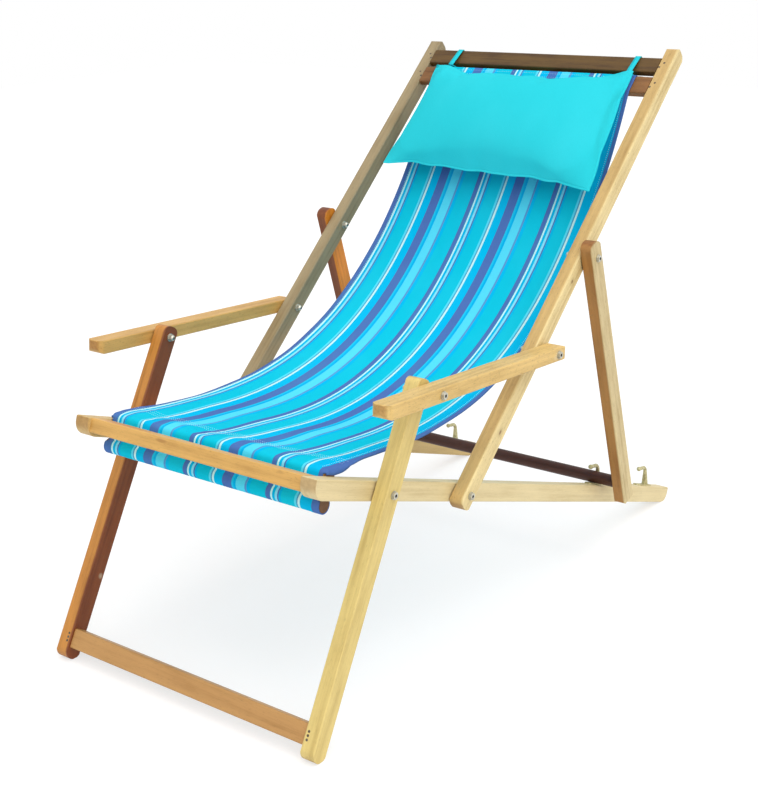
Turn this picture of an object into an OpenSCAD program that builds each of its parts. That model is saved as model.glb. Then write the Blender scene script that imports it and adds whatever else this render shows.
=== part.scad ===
// Folding deck chair: sling seat, arms, a prop frame with two hook positions and a head pillow.
// X runs across the chair and +X is the sitter's left. The sitter faces -Y. The floor is Z = 0.
// Side views are drawn in rail coordinates: x from the back pivot to the rear along the seat rail,
// y square to the rail and upwards. The links are solved there, then the whole is set on its feet.

/* [Seat rails] */
// Clear width between the two seat rails
seat_inner_w = 422; // [380:1:560]
// Thickness of a seat rail, across the chair
rail_t = 27; // [22:0.5:36]
// Depth of a seat rail
rail_h = 30; // [26:0.5:40]
// Length of a seat rail in front of the back pivot
rail_front = 365; // [350:1:420]
// Length of a seat rail behind the back pivot
rail_rear = 801; // [790:1:880]
// Rounding under both ends of a seat rail
rail_round = 22; // [10:0.5:24]

/* [Back rails] */
// Thickness of a back rail, and of a leg, across the chair
post_t = 24; // [18:0.5:32]
// Depth of a back rail
back_h = 29; // [24:0.5:38]
// Length of a back rail above the back pivot
back_above = 920; // [905:1:980]
// Length of a back rail below the back pivot
back_below = 23; // [16:0.5:30]

/* [Legs] */
// Depth of a leg
leg_h = 32; // [26:0.5:40]
// Length of a leg above the arm pivot
leg_above = 18; // [16:0.5:24]
// Length of a leg below the seat rail pivot
leg_below = 386; // [350:1:420]
// Height of the stretcher, along the leg
stretcher_h = 31; // [24:0.5:40]
// Thickness of the stretcher
stretcher_t = 20; // [14:0.5:22]
// Gap from the stretcher's lower edge to the leg's end
stretcher_lift = 18; // [14:0.5:60]
// Setback of the stretcher from the leg's front face
stretcher_setback = 4.5; // [1:0.5:6]

/* [Arms] */
// Width of an arm
arm_w = 33; // [26:0.5:60]
// Thickness of an arm
arm_h = 22; // [18:0.5:30]
// Length of an arm in front of the leg pivot
arm_front = 131; // [60:1:200]
// Length of an arm behind the back pivot
arm_rear = 20; // [16:0.5:40]

/* [Prop frame] */
// Thickness of a prop leg, across the chair
prop_t = 22; // [18:0.5:28]
// Depth of a prop leg
prop_h = 32; // [28:0.5:38]
// Length of a prop leg above its pivot
prop_above = 29; // [18:0.5:40]
// Length of a prop leg below the bar's centre
prop_below = 33; // [18:0.5:40]
// Diameter of the prop bar
bar_d = 22; // [20:0.5:25]

/* [Pivots] */
// From the back pivot to the leg pivot, along the seat rail
pivot_seat_leg = 213; // [205:0.5:220]
// From the back pivot to the arm pivot, along the back rail
pivot_back_arm = 272.5; // [266:0.5:280]
// From the back pivot to the prop pivot, along the back rail
pivot_back_prop = 465; // [455:0.5:475]
// From the seat pivot to the arm pivot, along the leg
pivot_leg_arm = 154.5; // [148:0.5:160]
// From the prop pivot to the bar's centre
pivot_prop_bar = 464; // [462:0.5:478]
// Bolt diameter
bolt_d = 6; // [5:0.5:10]
// Outer diameter of the washers
washer_d = 13; // [10:0.5:24]
// Thickness of a washer
washer_t = 1.6; // [1:0.1:2.5]
// Free space between a washer and the wood beside it
washer_play = 0.2; // [0.1:0.05:0.4]
// Radial clearance of a bolt in its hole
bolt_play = 0.1; // [0.05:0.01:0.3]

/* [Prop hooks] */
// From the back pivot to the bar's centre in the front hooks
bar_at = 500; // [490:0.5:510]
// From a front hook to the rear hook behind it
hook_pitch = 208; // [150:1:225]
// Distance of a hook from the inner face of its rail
hook_inset = 9; // [8:0.5:14]
// Thickness of a hook's rod
hook_rod_d = 7; // [4:0.1:8]
// Thickness of a hook's stem at its foot
hook_base_d = 12; // [7:0.1:13]
// Lean of a hook's stem over the bar, in degrees
hook_lean = 18; // [0:1:20]
// Inner line radius of the bend over the stem
hook_bend_r = 11; // [8:0.5:12]
// Fall of a hook's arm towards its tip, in degrees
hook_droop = 9; // [0:1:12]
// From the foot of the stem to the ball at the tip
hook_reach = 38; // [34:0.5:42]
// Diameter of the ball at the tip
hook_ball_d = 8.6; // [5:0.1:10]
// Thickness of a hook's foot plate
hook_plate_t = 2.2; // [1.6:0.1:4]
// Length of the foot plate in front of the stem
hook_plate_front = 42; // [40:0.5:50]
// Length of the foot plate behind the stem
hook_plate_rear = 20; // [18:0.5:30]
// Width of a hook's foot plate
hook_plate_w = 14; // [12:0.5:16]
// Free height over the bar under the hook's ball
hook_throat_play = 2; // [1.8:0.1:5]
// Gap between the bar and the parts of its hook
bar_play = 0.3; // [0.2:0.05:0.6]

/* [Cross rails and dowels] */
// Height of the two cross rails under the front of the sling
cross_h = 23; // [16:0.5:26]
// Depth of the front cross rail
cross_front_d = 28; // [20:0.5:34]
// Depth of the second cross rail
cross_second_d = 24; // [18:0.5:34]
// Width of the slot that the sling passes through at the front
front_slot = 18; // [8:0.5:22]
// How far the second cross rail stands up over the seat rails
cross_second_rise = 9; // [0:0.5:12]
// Rounding of the second cross rail's upper edges
cross_second_ease = 8; // [2.5:0.5:10]
// Setback of the front cross rail from the ends of the seat rails
cross_setback = 6; // [2:0.5:20]
// Diameter of the dowel in the front hem
front_dowel_d = 22; // [18:0.5:26]
// Length of the front hem's dowel that bears under a seat rail
front_dowel_bearing = 4; // [2:0.5:20]
// From the second cross rail's front to the middle of the front hem's dowel
front_dowel_behind = 7; // [2:0.5:9]
// Diameter of the dowel in the rear hem
rear_dowel_d = 20; // [18:0.5:24]
// Height of the upper head bar, along the back rail
head_upper_h = 34; // [24:0.5:40]
// Height of the lower head bar, along the back rail
head_lower_h = 38; // [24:0.5:44]
// Thickness of the head bars
head_bar_t = 13; // [11:0.5:18]
// From the upper head bar to the top of the back rails
head_setback = 24; // [8:0.5:50]
// Width of the slot between the head bars
head_slot = 11; // [9:0.5:18]
// Length of the tenons
tenon_l = 12; // [8:0.5:15]
// Clearance of a tenon in its mortise
tenon_play = 0.1; // [0.05:0.01:0.3]

/* [Sling] */
// Thickness of the sling cloth
cloth_t = 1.2; // [0.8:0.1:2]
// Gap from the sling's edge to the seat rail
sling_edge_gap = 2; // [2:0.5:20]
// Gap between the cloth and what it bears on
cloth_gap = 0.6; // [0.4:0.05:0.8]
// How much lower the middle of the sling hangs than its edges
sling_cross_sag = 14; // [0:1:30]
// How far the seat keeps its direction, as a share of the span
sling_seat_pull = 0.12; // [0.08:0.01:0.4]
// How far the back keeps its direction, as a share of the span
sling_back_pull = 0.67; // [0.4:0.01:0.75]
// Rise of the sling behind its front edge, in degrees
sling_seat_rise = 1.5; // [0:0.5:8]
// Lean of the sling behind the back rails at the head, in degrees
sling_back_lean = 23; // [12:0.5:26]

/* [Pillow] */
// Width of the pillow along its lower edge
pillow_w = 436; // [300:1:450]
// Width of the pillow along its upper edge
pillow_top_w = 410; // [300:1:450]
// Height of the pillow
pillow_h = 238; // [150:1:250]
// Thickness of the pillow's front half
pillow_front_t = 50; // [30:1:60]
// Thickness of the pillow's rear half
pillow_rear_t = 30; // [15:1:36]
// Distance of the pillow's top edge from the top of the back rails
pillow_drop = 68; // [66:1:120]
// Distance of the pillow's top edge in front of the back rails' middle
pillow_stand_off = 23; // [22:0.5:50]
// Lean of the pillow to the back rails, in degrees
pillow_lean = 4.5; // [2:0.5:14]
// Distance of a pillow loop from the middle of the chair
loop_at = 185; // [100:1:192]
// Width of a pillow loop's tape
loop_w = 10; // [6:0.5:16]
// Thickness of a pillow loop's tape
loop_t = 1.4; // [0.8:0.1:2]

/* [Hidden] */
$fn = 48;

// Faces of the layers, from the middle of the chair outwards
layer_gap = washer_t + 2 * washer_play;
rail_in = seat_inner_w / 2;
rail_out = rail_in + rail_t;
post_in = rail_out + layer_gap;
post_out = post_in + post_t;
outer_in = post_out + layer_gap;
arm_out = outer_in + arm_w;
prop_out = outer_in + prop_t;

// Small radii and edges
edge_ease = 1.5;
end_ease = 2;
bar_ease = 2.5;
leg_end_r = leg_h / 2 - 0.01;
post_top_r = 13;
post_front_r = 5;
post_foot_r = 12;
prop_top_r = 14;
arm_nose_r = 11;

// Tenons, as shares of the bar's height and thickness
tenon_share_h = 0.6;
tenon_share_t = 0.5;

// Fasteners
head_d = 11;
head_t = 3;
socket_d = 5;
socket_depth = 2;
cap_nut_d = 11;
cap_nut_t = 5;
cap_dome_d = 9.5;
screw_d = 3.5;
screw_head_d = 7;
screw_l = 18;
screw_play = 0.1;
screw_sink = 1.4;
nail_d = 2.4;
nail_head_d = 4;
nail_l = 24;
nail_pitch = 6;
head_screw_off = [3, 5];
rear_dowel_inset = 6;

// The triangle of seat rail, back rail and prop leg, with the bar in the front hooks
bar_r = bar_d / 2;
rail_top = rail_h / 2;
bar_p = [bar_at, rail_top + hook_plate_t + bar_play + bar_r];
back_open = atan2(bar_p.y, bar_p.x)
    + triangle_angle(pivot_back_prop, norm(bar_p), pivot_prop_bar);
hinge_b = [0, 0];
hinge_e = pivot_back_prop * ray(back_open);
prop_dir = direction(bar_p, hinge_e);

// The four links. Arm and leg together are as long as seat and back together, so they lie flat in one
// line when the back is let down
hinge_a = [-pivot_seat_leg, 0];
hinge_c = pivot_back_arm * ray(back_open);
pivot_arm = pivot_seat_leg + pivot_back_arm - pivot_leg_arm;
leg_open = direction(hinge_a, hinge_c)
    + triangle_angle(pivot_leg_arm, norm(hinge_c - hinge_a), pivot_arm);
hinge_d = hinge_a + pivot_leg_arm * ray(leg_open);
arm_dir = direction(hinge_d, hinge_c);

// The chair stands on the rounded leg ends and on the rounded rear ends of the seat rails
floor_flat = 0.5;
foot_c = hinge_a - (leg_below - leg_end_r) * ray(leg_open);
heel_c = [rail_rear - rail_round, rail_round - rail_top];
seat_slope = direction(foot_c, heel_c) - asin((rail_round - leg_end_r) / norm(heel_c - foot_c));
foot_w = turned(foot_c, -seat_slope);
heel_w = turned(heel_c, -seat_slope);
tail_w = turned([rail_rear - end_ease, rail_top - end_ease], -seat_slope);
front_y = foot_w.x - leg_end_r;
rear_y = tail_w.x + end_ease;
base_yz = [-(front_y + rear_y) / 2, rail_round - floor_flat - heel_w.y];

// Stations along the parts
front_rail_a = -rail_front + cross_setback;
front_rail_b = front_rail_a + cross_front_d;
second_rail_a = front_rail_b + front_slot;
second_rail_b = second_rail_a + cross_second_d;
front_dowel_r = front_dowel_d / 2;
cross_bottom = rail_top - cross_h;
dowel_play = 0.05;
front_dowel_c = [second_rail_a + front_dowel_behind, -rail_top - front_dowel_r - dowel_play];
head_upper_b = back_above - head_setback;
head_upper_a = head_upper_b - head_upper_h;
head_lower_b = head_upper_a - head_slot;
head_lower_a = head_lower_b - head_lower_h;
head_front = back_h / 2;
head_rear = head_front - head_bar_t;
rear_dowel_r = rear_dowel_d / 2;
rear_dowel_c = [(head_lower_b + head_upper_a) / 2, head_rear - rear_dowel_r - cloth_t - 2 * cloth_gap];

// Sling half width and rings
sling_half = rail_in - sling_edge_gap;
sling_columns = 8;
hem_gap = cloth_gap + cloth_t / 2;

// Geometry helpers
function ray(a) = [cos(a), sin(a)];
function direction(p, q) = atan2(q.y - p.y, q.x - p.x);
function turned(p, a) = [p.x * cos(a) - p.y * sin(a), p.x * sin(a) + p.y * cos(a)];
// Angle between the sides a and b of a triangle whose third side is c
function triangle_angle(a, b, c) = acos((a * a + b * b - c * c) / (2 * a * b));
// A point given along and in front of the back rail, in the rail frame
function on_back(s, n) = s * ray(back_open) + n * ray(back_open + 90);
function arc(c, r, a0, a1, n) = [for (i = [0:n]) c + r * ray(a0 + (a1 - a0) * i / n)];
function bezier(p, t) = pow(1 - t, 3) * p[0] + 3 * t * pow(1 - t, 2) * p[1]
    + 3 * t * t * (1 - t) * p[2] + pow(t, 3) * p[3];

// Set in the chair: a part drawn in the rail frame's plane, pushed out along X
module in_chair() {
    translate([0, base_yz.x, base_yz.y]) rotate([-seat_slope, 0, 0]) children();
}

// The same part on the sitter's left (side = 1) or right (side = -1)
module on_side(side) {
    mirror([side > 0 ? 0 : 1, 0, 0]) children();
}

module both_sides() {
    for (side = [1, -1]) on_side(side) children();
}

// Put the start of a beam at p in the rail frame, its length turned to angle a, its inner face at x
module placed(p, a, x) {
    in_chair() translate([x, p.x, p.y]) rotate([a, 0, 0]) children();
}

// What a rounding of radius r takes from the corner p of an outline that lies towards d
module corner_cut(p, d, r) {
    difference() {
        translate([min(p.x - d.x, p.x + d.x * r), min(p.y - d.y, p.y + d.y * r)]) square(r + 1);
        translate(p + d * r) circle(r);
    }
}

// Side outline of a beam from a to b, h deep, with its corner radii in the order
// lower and upper at a, lower and upper at b
module beam_outline(a, b, h, r) {
    difference() {
        translate([a, -h / 2]) square([b - a, h]);
        corner_cut([a, -h / 2], [1, 1], r[0]);
        corner_cut([a, h / 2], [1, -1], r[1]);
        corner_cut([b, -h / 2], [-1, 1], r[2]);
        corner_cut([b, h / 2], [-1, -1], r[3]);
    }
}

// Cross-section of a beam, t wide and h deep, with its four long edges eased
module beam_section(t, h) {
    e = edge_ease;
    polygon([[e, -h / 2], [t - e, -h / 2], [t, e - h / 2], [t, h / 2 - e],
        [t - e, h / 2], [e, h / 2], [0, h / 2 - e], [0, e - h / 2]]);
}

module beam(a, b, h, t, r) {
    intersection() {
        rotate([90, 0, 90]) linear_extrude(t) beam_outline(a, b, h, r);
        translate([0, b + 1, 0]) rotate([90, 0, 0]) linear_extrude(b - a + 2) beam_section(t, h);
    }
}

// A round hole along X through p, from x0 over a length
module cross_bore(p, d, x0, len) {
    translate([x0, p.x, p.y]) rotate([0, 90, 0]) cylinder(d = d, h = len);
}

module pivot_bore(p, t) {
    cross_bore(p, bolt_d + 2 * bolt_play, -1, t + 2);
}

// A bar across the chair between two faces at x = +-inner, in the frame of the beam that carries it:
// from a to b along the beam and from low to high across it, with a tenon at each end. The bar alone
// can rise over high, with its upper edges rounded more
module cross_bar(inner, a, b, low, high, grow = 0, rise = 0, ease = bar_ease) {
    tenon_h = (b - a) * tenon_share_h;
    tenon_t = (high - low) * tenon_share_t;
    if (grow == 0) translate([-inner, 0, (low + high + rise) / 2]) rotate([90, 0, 90])
        linear_extrude(2 * inner) beam_outline(a, b, high + rise - low, [bar_ease, ease, bar_ease, ease]);
    translate([-inner - tenon_l, (a + b - tenon_h) / 2 - grow, (low + high - tenon_t) / 2 - grow])
        cube([2 * (inner + tenon_l), tenon_h + 2 * grow, tenon_t + 2 * grow]);
}

module floor_cut() {
    translate([-arm_out, front_y + base_yz.x - 50, -20])
        cube([2 * arm_out, rear_y - front_y + 100, 20]);
}

// Seat frame

module seat_rail(side) {
    color("burlywood") difference() {
        on_side(side) placed(hinge_b, 0, rail_in) difference() {
            beam(-rail_front, rail_rear, rail_h, rail_t,
                [rail_round, end_ease, rail_round, end_ease]);
            pivot_bore(hinge_a, rail_t);
            pivot_bore(hinge_b, rail_t);
            translate([-rail_in, 0, 0]) {
                cross_tenons(tenon_play);
                for (at = hook_places) hook_screw_places(at)
                    translate([0, 0, -screw_l]) cylinder(d = screw_d + 2 * screw_play, h = screw_l + 1);
            }
        }
        floor_cut();
    }
}

module cross_tenons(grow) {
    cross_bar(rail_in, front_rail_a, front_rail_b, cross_bottom, rail_top, grow);
    cross_bar(rail_in, second_rail_a, second_rail_b, cross_bottom, rail_top, grow);
}

module front_cross_rail() {
    color("sandybrown") placed(hinge_b, 0, 0)
        cross_bar(rail_in, front_rail_a, front_rail_b, cross_bottom, rail_top);
}

module second_cross_rail() {
    color("sandybrown") placed(hinge_b, 0, 0)
        cross_bar(rail_in, second_rail_a, second_rail_b, cross_bottom, rail_top,
            rise = cross_second_rise, ease = cross_second_ease);
}

// The dowel bears up under both seat rails and can't pass the slot between the cross rails
module front_hem_dowel() {
    reach = rail_in + front_dowel_bearing;
    color("sienna") placed(front_dowel_c, 0, 0) cross_bore([0, 0], front_dowel_d, -reach, 2 * reach);
}

// Hooks. Their side view is drawn from the foot of the stem on the rail's upper face

hook_x = rail_in + hook_inset;
hook_screws_at = [9 - hook_plate_front, hook_plate_rear - 7];
hook_ball_z = hook_plate_t + bar_play + bar_d + hook_throat_play + hook_ball_d / 2;
hook_bend_span = hook_reach - hook_bend_r * (cos(hook_lean) + sin(hook_droop));
hook_stem_l = (hook_ball_z - hook_plate_t + hook_bend_r * (sin(hook_lean) - cos(hook_droop))
    + tan(hook_droop) * hook_bend_span) / (cos(hook_lean) + sin(hook_lean) * tan(hook_droop));
hook_bend_c = [0, hook_plate_t] + hook_stem_l * ray(90 + hook_lean) - hook_bend_r * ray(hook_lean);
hook_bend_end = hook_bend_c + hook_bend_r * ray(90 + hook_droop);
hook_tip = [-hook_reach, hook_ball_z];
// Stem, bend and arm each run a little into the next, with a small step in thickness
hook_step = 0.12;
hook_lap = 0.8;
hook_lap_angle = 4;
hook_stem_d = hook_rod_d + 2 * hook_step;

// The bar lies against the tapered, leaning stem: from the bar's centre back to the stem's foot
stem_taper = atan((hook_base_d - hook_stem_d) / 2 / hook_stem_l);
bar_lift = bar_r + bar_play;
hook_back = (bar_lift / cos(stem_taper) + hook_base_d / 2
    + bar_lift * (sin(hook_lean) - cos(hook_lean) * tan(stem_taper)))
    / (cos(hook_lean) + sin(hook_lean) * tan(stem_taper));
hook_places = [bar_at + hook_back, bar_at + hook_back + hook_pitch];

// The two screws of the hook whose stem stands at the given distance behind the back pivot
module hook_screw_places(at) {
    for (p = hook_screws_at) translate([hook_x, at + p, rail_top]) children();
}

// A cast hook: foot plate, a tapered stem, a bend, a short arm that opens to the front and a ball
module hook(side, at) {
    rod_r = hook_rod_d / 2;
    sunk = 2;
    color("palegoldenrod") on_side(side) placed(hinge_b, 0, 0) difference() {
        translate([hook_x, at, rail_top]) {
            linear_extrude(hook_plate_t) {
                translate([-hook_plate_w / 2, hook_plate_w / 2 - hook_plate_front])
                    square([hook_plate_w, hook_plate_front + hook_plate_rear - hook_plate_w]);
                for (y = [hook_plate_w / 2 - hook_plate_front, hook_plate_rear - hook_plate_w / 2])
                    translate([0, y]) circle(d = hook_plate_w);
            }
            translate([0, 0, hook_plate_t]) rotate([hook_lean, 0, 0]) {
                translate([0, 0, -sunk]) cylinder(d = hook_base_d, h = sunk);
                cylinder(d1 = hook_base_d, d2 = hook_stem_d, h = hook_stem_l);
            }
            translate([0, hook_bend_c.x, hook_bend_c.y]) rotate([90, 0, 90])
                rotate([0, 0, hook_lean - hook_lap_angle])
                rotate_extrude(angle = 90 + hook_droop - hook_lean + hook_lap_angle)
                translate([hook_bend_r, 0]) circle(rod_r);
            translate([0, hook_bend_end.x, hook_bend_end.y]) rotate([90 + hook_droop, 0, 0])
                translate([0, 0, -hook_lap])
                cylinder(r = rod_r - hook_step, h = norm(hook_tip - hook_bend_end) + hook_lap);
            translate([0, hook_tip.x, hook_tip.y]) sphere(d = hook_ball_d);
        }
        translate([hook_x - hook_base_d, at - hook_base_d, rail_top - 10])
            cube([2 * hook_base_d, 2 * hook_base_d, 10]);
        hook_screw_places(at) {
            translate([0, 0, -1]) cylinder(d = screw_d + 2 * screw_play, h = hook_plate_t + 2);
            translate([0, 0, hook_plate_t - screw_sink]) cylinder(d = screw_head_d + 2 * screw_play, h = 3);
        }
    }
}

module screw(head_z) {
    translate([0, 0, head_z]) cylinder(d = screw_head_d, h = 1.3);
    translate([0, 0, head_z + 1 - screw_l]) cylinder(d = screw_d, h = screw_l - 0.5);
}

module hook_screws() {
    color("silver") both_sides() placed(hinge_b, 0, 0)
        for (at = hook_places) hook_screw_places(at) screw(hook_plate_t - screw_sink);
}

// Pivot hardware, drawn along X at x = 0 on the face that it sits on

module washer(x) {
    translate([x, 0, 0]) rotate([0, 90, 0]) difference() {
        cylinder(d = washer_d, h = washer_t);
        translate([0, 0, -1]) cylinder(d = bolt_d + 2 * bolt_play, h = washer_t + 2);
    }
}

// Shank from x0 to x1 with a low head beyond x1, which has a hexagon socket
module bolt(x0, x1) {
    rotate([0, 90, 0]) difference() {
        union() {
            translate([0, 0, x0]) cylinder(d = bolt_d, h = x1 - x0 + 1);
            translate([0, 0, x1]) cylinder(d = head_d, h = head_t);
        }
        translate([0, 0, x1 + head_t - socket_depth]) cylinder(d = socket_d, h = socket_depth + 1, $fn = 6);
    }
}

// Hexagon nut with a domed cap, from x inwards, with a blind hole for the bolt's end
module cap_nut(x) {
    translate([x, 0, 0]) rotate([0, -90, 0]) difference() {
        union() {
            cylinder(d = cap_nut_d, h = cap_nut_t, $fn = 6);
            translate([0, 0, cap_nut_t - 1]) intersection() {
                sphere(d = cap_dome_d);
                cylinder(d = cap_dome_d, h = cap_dome_d);
            }
        }
        translate([0, 0, -1]) cylinder(d = bolt_d + 2 * bolt_play, h = cap_nut_t);
    }
}

bolt_end = cap_nut_t - 1.5;

// A whole pivot between an inner member from a to b and an outer member up to c
module pivot_bolt_at(p, a, c) {
    placed(p, 0, 0) bolt(a - washer_t - bolt_end, c + washer_play + washer_t);
}

module pivot_washers_at(p, a, b, c) {
    placed(p, 0, 0) {
        washer(a - washer_t);
        washer(b + washer_play);
        washer(c + washer_play);
    }
}

module pivot_cap_nut_at(p, a) {
    placed(p, 0, 0) cap_nut(a - washer_t);
}

module seat_pivot_bolts() {
    color("silver") both_sides() for (p = [hinge_a, hinge_b]) pivot_bolt_at(p, rail_in, post_out);
}

module seat_pivot_washers() {
    color("gainsboro") both_sides() for (p = [hinge_a, hinge_b])
        pivot_washers_at(p, rail_in, rail_out, post_out);
}

module seat_pivot_cap_nuts() {
    color("silver") both_sides() for (p = [hinge_a, hinge_b]) pivot_cap_nut_at(p, rail_in);
}

// Back frame

module back_rail(side) {
    color("tan") on_side(side) placed(hinge_b, back_open, post_in) difference() {
        beam(-back_below, back_above, back_h, post_t,
            [post_foot_r, post_foot_r, post_top_r, post_front_r]);
        pivot_bore([0, 0], post_t);
        pivot_bore([pivot_back_arm, 0], post_t);
        pivot_bore([pivot_back_prop, 0], post_t);
        translate([-post_in, 0, 0]) {
            head_tenons(tenon_play);
            head_screw_places() nail(screw_play);
        }
    }
}

module head_tenons(grow) {
    cross_bar(post_in, head_lower_a, head_lower_b, head_rear, head_front, grow);
    cross_bar(post_in, head_upper_a, head_upper_b, head_rear, head_front, grow);
}

// Two small screws through the front of the back rail hold each tenon of the head bars
module head_screw_places() {
    for (s = [(head_lower_a + head_lower_b) / 2, (head_upper_a + head_upper_b) / 2])
        for (k = [-1, 1])
            translate([post_in + tenon_l / 2 + k * head_screw_off.x, s + k * head_screw_off.y, head_front])
            children();
}

module head_bar(a, b) {
    color("saddlebrown") placed(hinge_b, back_open, 0) difference() {
        cross_bar(post_in, a, b, head_rear, head_front);
        for (side = [1, -1]) on_side(side) head_screw_places() nail(screw_play);
    }
}

module upper_head_bar() { head_bar(head_upper_a, head_upper_b); }

module lower_head_bar() { head_bar(head_lower_a, head_lower_b); }

module head_bar_screws() {
    color("silver") both_sides() placed(hinge_b, back_open, 0) head_screw_places() nail(0);
}

module rear_hem_dowel() {
    reach = post_in - rear_dowel_inset;
    color("sienna") placed(hinge_b, back_open, 0)
        cross_bore(rear_dowel_c, rear_dowel_d, -reach, 2 * reach);
}

module back_pivot_bolts() {
    color("silver") both_sides() {
        pivot_bolt_at(hinge_c, post_in, arm_out);
        pivot_bolt_at(hinge_e, post_in, prop_out);
    }
}

module back_pivot_washers() {
    color("gainsboro") both_sides() {
        pivot_washers_at(hinge_c, post_in, post_out, arm_out);
        pivot_washers_at(hinge_e, post_in, post_out, prop_out);
    }
}

module back_pivot_cap_nuts() {
    color("silver") both_sides() for (p = [hinge_c, hinge_e]) pivot_cap_nut_at(p, post_in);
}

// Leg frame

stretcher_a = -leg_below + stretcher_lift;
stretcher_b = stretcher_a + stretcher_h;
stretcher_front = leg_h / 2 - stretcher_setback;
stretcher_rear = stretcher_front - stretcher_t;

module leg(side) {
    color(side > 0 ? "navajowhite" : "peru") difference() {
        on_side(side) placed(hinge_a, leg_open, post_in) difference() {
            beam(-leg_below, pivot_leg_arm + leg_above, leg_h, post_t,
                [leg_end_r, leg_end_r, post_top_r, post_top_r]);
            pivot_bore([0, 0], post_t);
            pivot_bore([pivot_leg_arm, 0], post_t);
            translate([-post_in, 0, 0])
                cross_bar(post_in, stretcher_a, stretcher_b, stretcher_rear, stretcher_front, tenon_play);
            translate([-post_in, 0, 0]) nail_places() nail(screw_play);
        }
        floor_cut();
    }
}

// Three nails through the front of each leg hold the stretcher's tenon
module nail_places() {
    for (k = [-1, 0, 1])
        translate([post_in + tenon_l / 2, (stretcher_a + stretcher_b) / 2 + k * nail_pitch, leg_h / 2])
        children();
}

module nail(grow) {
    translate([0, 0, -nail_l]) cylinder(d = nail_d + 2 * grow, h = nail_l);
    translate([0, 0, -1]) cylinder(d = nail_head_d + 2 * grow, h = 1 + grow);
}

module stretcher() {
    color("peru") placed(hinge_a, leg_open, 0) difference() {
        cross_bar(post_in, stretcher_a, stretcher_b, stretcher_rear, stretcher_front);
        for (side = [1, -1]) on_side(side) nail_places() nail(screw_play);
    }
}

module stretcher_nails() {
    color("dimgray") both_sides() placed(hinge_a, leg_open, 0) nail_places() nail(0);
}

// The pivot of arm and leg is split between the two: a stub with the cap nut stays in the leg
stub_end = post_out + layer_gap / 2;

module leg_pivot_stubs() {
    color("silver") both_sides() placed(hinge_d, 0, 0) rotate([0, 90, 0])
        translate([0, 0, post_in - washer_t - bolt_end])
        cylinder(d = bolt_d, h = stub_end - washer_play / 2 - post_in + washer_t + bolt_end);
}

module leg_pivot_washers() {
    color("gainsboro") both_sides() placed(hinge_d, 0, 0) washer(post_in - washer_t);
}

module leg_pivot_cap_nuts() {
    color("silver") both_sides() pivot_cap_nut_at(hinge_d, post_in);
}

// Arms

module arm_plan() {
    length = arm_front + pivot_arm + arm_rear;
    translate([0, -arm_front]) difference() {
        square([arm_w, length]);
        corner_cut([0, 0], [1, 1], arm_nose_r);
        corner_cut([arm_w, 0], [-1, 1], arm_nose_r);
    }
}

module arm(side) {
    color("goldenrod") on_side(side) placed(hinge_d, arm_dir, outer_in) difference() {
        intersection() {
            beam(-arm_front, pivot_arm + arm_rear, arm_h, arm_w,
                [arm_nose_r, end_ease, end_ease, end_ease]);
            translate([0, 0, -arm_h]) linear_extrude(2 * arm_h) arm_plan();
        }
        pivot_bore([0, 0], arm_w);
        pivot_bore([pivot_arm, 0], arm_w);
    }
}

// The outer part of the split pivot, with its head, stays in the arm
module arm_bolt(side) {
    color("silver") on_side(side) placed(hinge_d, 0, 0)
        bolt(stub_end + washer_play / 2, arm_out + washer_play + washer_t);
}

module arm_washer(side) {
    color("gainsboro") on_side(side) placed(hinge_d, 0, 0) washer(arm_out + washer_play);
}

// Prop frame

prop_socket = 10;
prop_fit = 0.05;

module prop_leg(side) {
    color(side > 0 ? "burlywood" : "sandybrown") on_side(side) placed(bar_p, prop_dir, outer_in) difference() {
        beam(-prop_below, pivot_prop_bar + prop_above, prop_h, prop_t,
            [end_ease, end_ease, prop_top_r, prop_top_r]);
        pivot_bore([pivot_prop_bar, 0], prop_t);
        cross_bore([0, 0], bar_d + 2 * prop_fit, -1, prop_socket + 1);
    }
}

module prop_bar() {
    reach = outer_in + prop_socket - prop_fit;
    color("brown") placed(bar_p, 0, 0) cross_bore([0, 0], bar_d, -reach, 2 * reach);
}

// Sling

// Middle line of the cloth in side view, in the rail frame, from the front hem to the rear hem.
// At both ends it closes round a dowel
front_hem_r = front_dowel_r + hem_gap;
rear_hem_r = rear_dowel_r + hem_gap;
front_hem_leave = acos((-front_dowel_behind - hem_gap) / front_hem_r);
front_hem_overlap = 22;
rear_hem_enter = 180 - acos((head_slot / 2 - hem_gap) / rear_hem_r);
rear_hem_end = 400;
seat_edge = [second_rail_a, rail_top + cross_second_rise];
seat_turn_r = cross_second_ease + hem_gap;
seat_turn_c = seat_edge + [cross_second_ease, -cross_second_ease];
seat_turn_end = 90 + sling_seat_rise + seat_slope;
head_turn_r = bar_ease + hem_gap;
head_turn_c = on_back(head_lower_a + bar_ease, head_front - bar_ease);
bezier_start = seat_turn_c + seat_turn_r * ray(seat_turn_end);
bezier_end = head_turn_c + head_turn_r * ray(back_open + 90 + sling_back_lean);
sling_span = norm(bezier_end - bezier_start);
sling_curve = [bezier_start,
    bezier_start + sling_seat_pull * sling_span * ray(seat_slope + sling_seat_rise),
    bezier_end - sling_back_pull * sling_span * ray(back_open + sling_back_lean),
    bezier_end];
sling_steps = 24;
hem_steps = 12;
turn_steps = 4;
over_bar_n = head_front + hem_gap;
over_bar_in = bar_ease + 1;
slot_depth = 6;
front_part = concat(
    arc(front_dowel_c, front_hem_r, front_hem_leave - front_hem_overlap, front_hem_leave - 360, hem_steps),
    [[second_rail_a - hem_gap, cross_bottom]],
    [for (i = [0:turn_steps - 1])
        seat_turn_c + seat_turn_r * ray(180 + (seat_turn_end - 180) * i / turn_steps)]);
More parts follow.
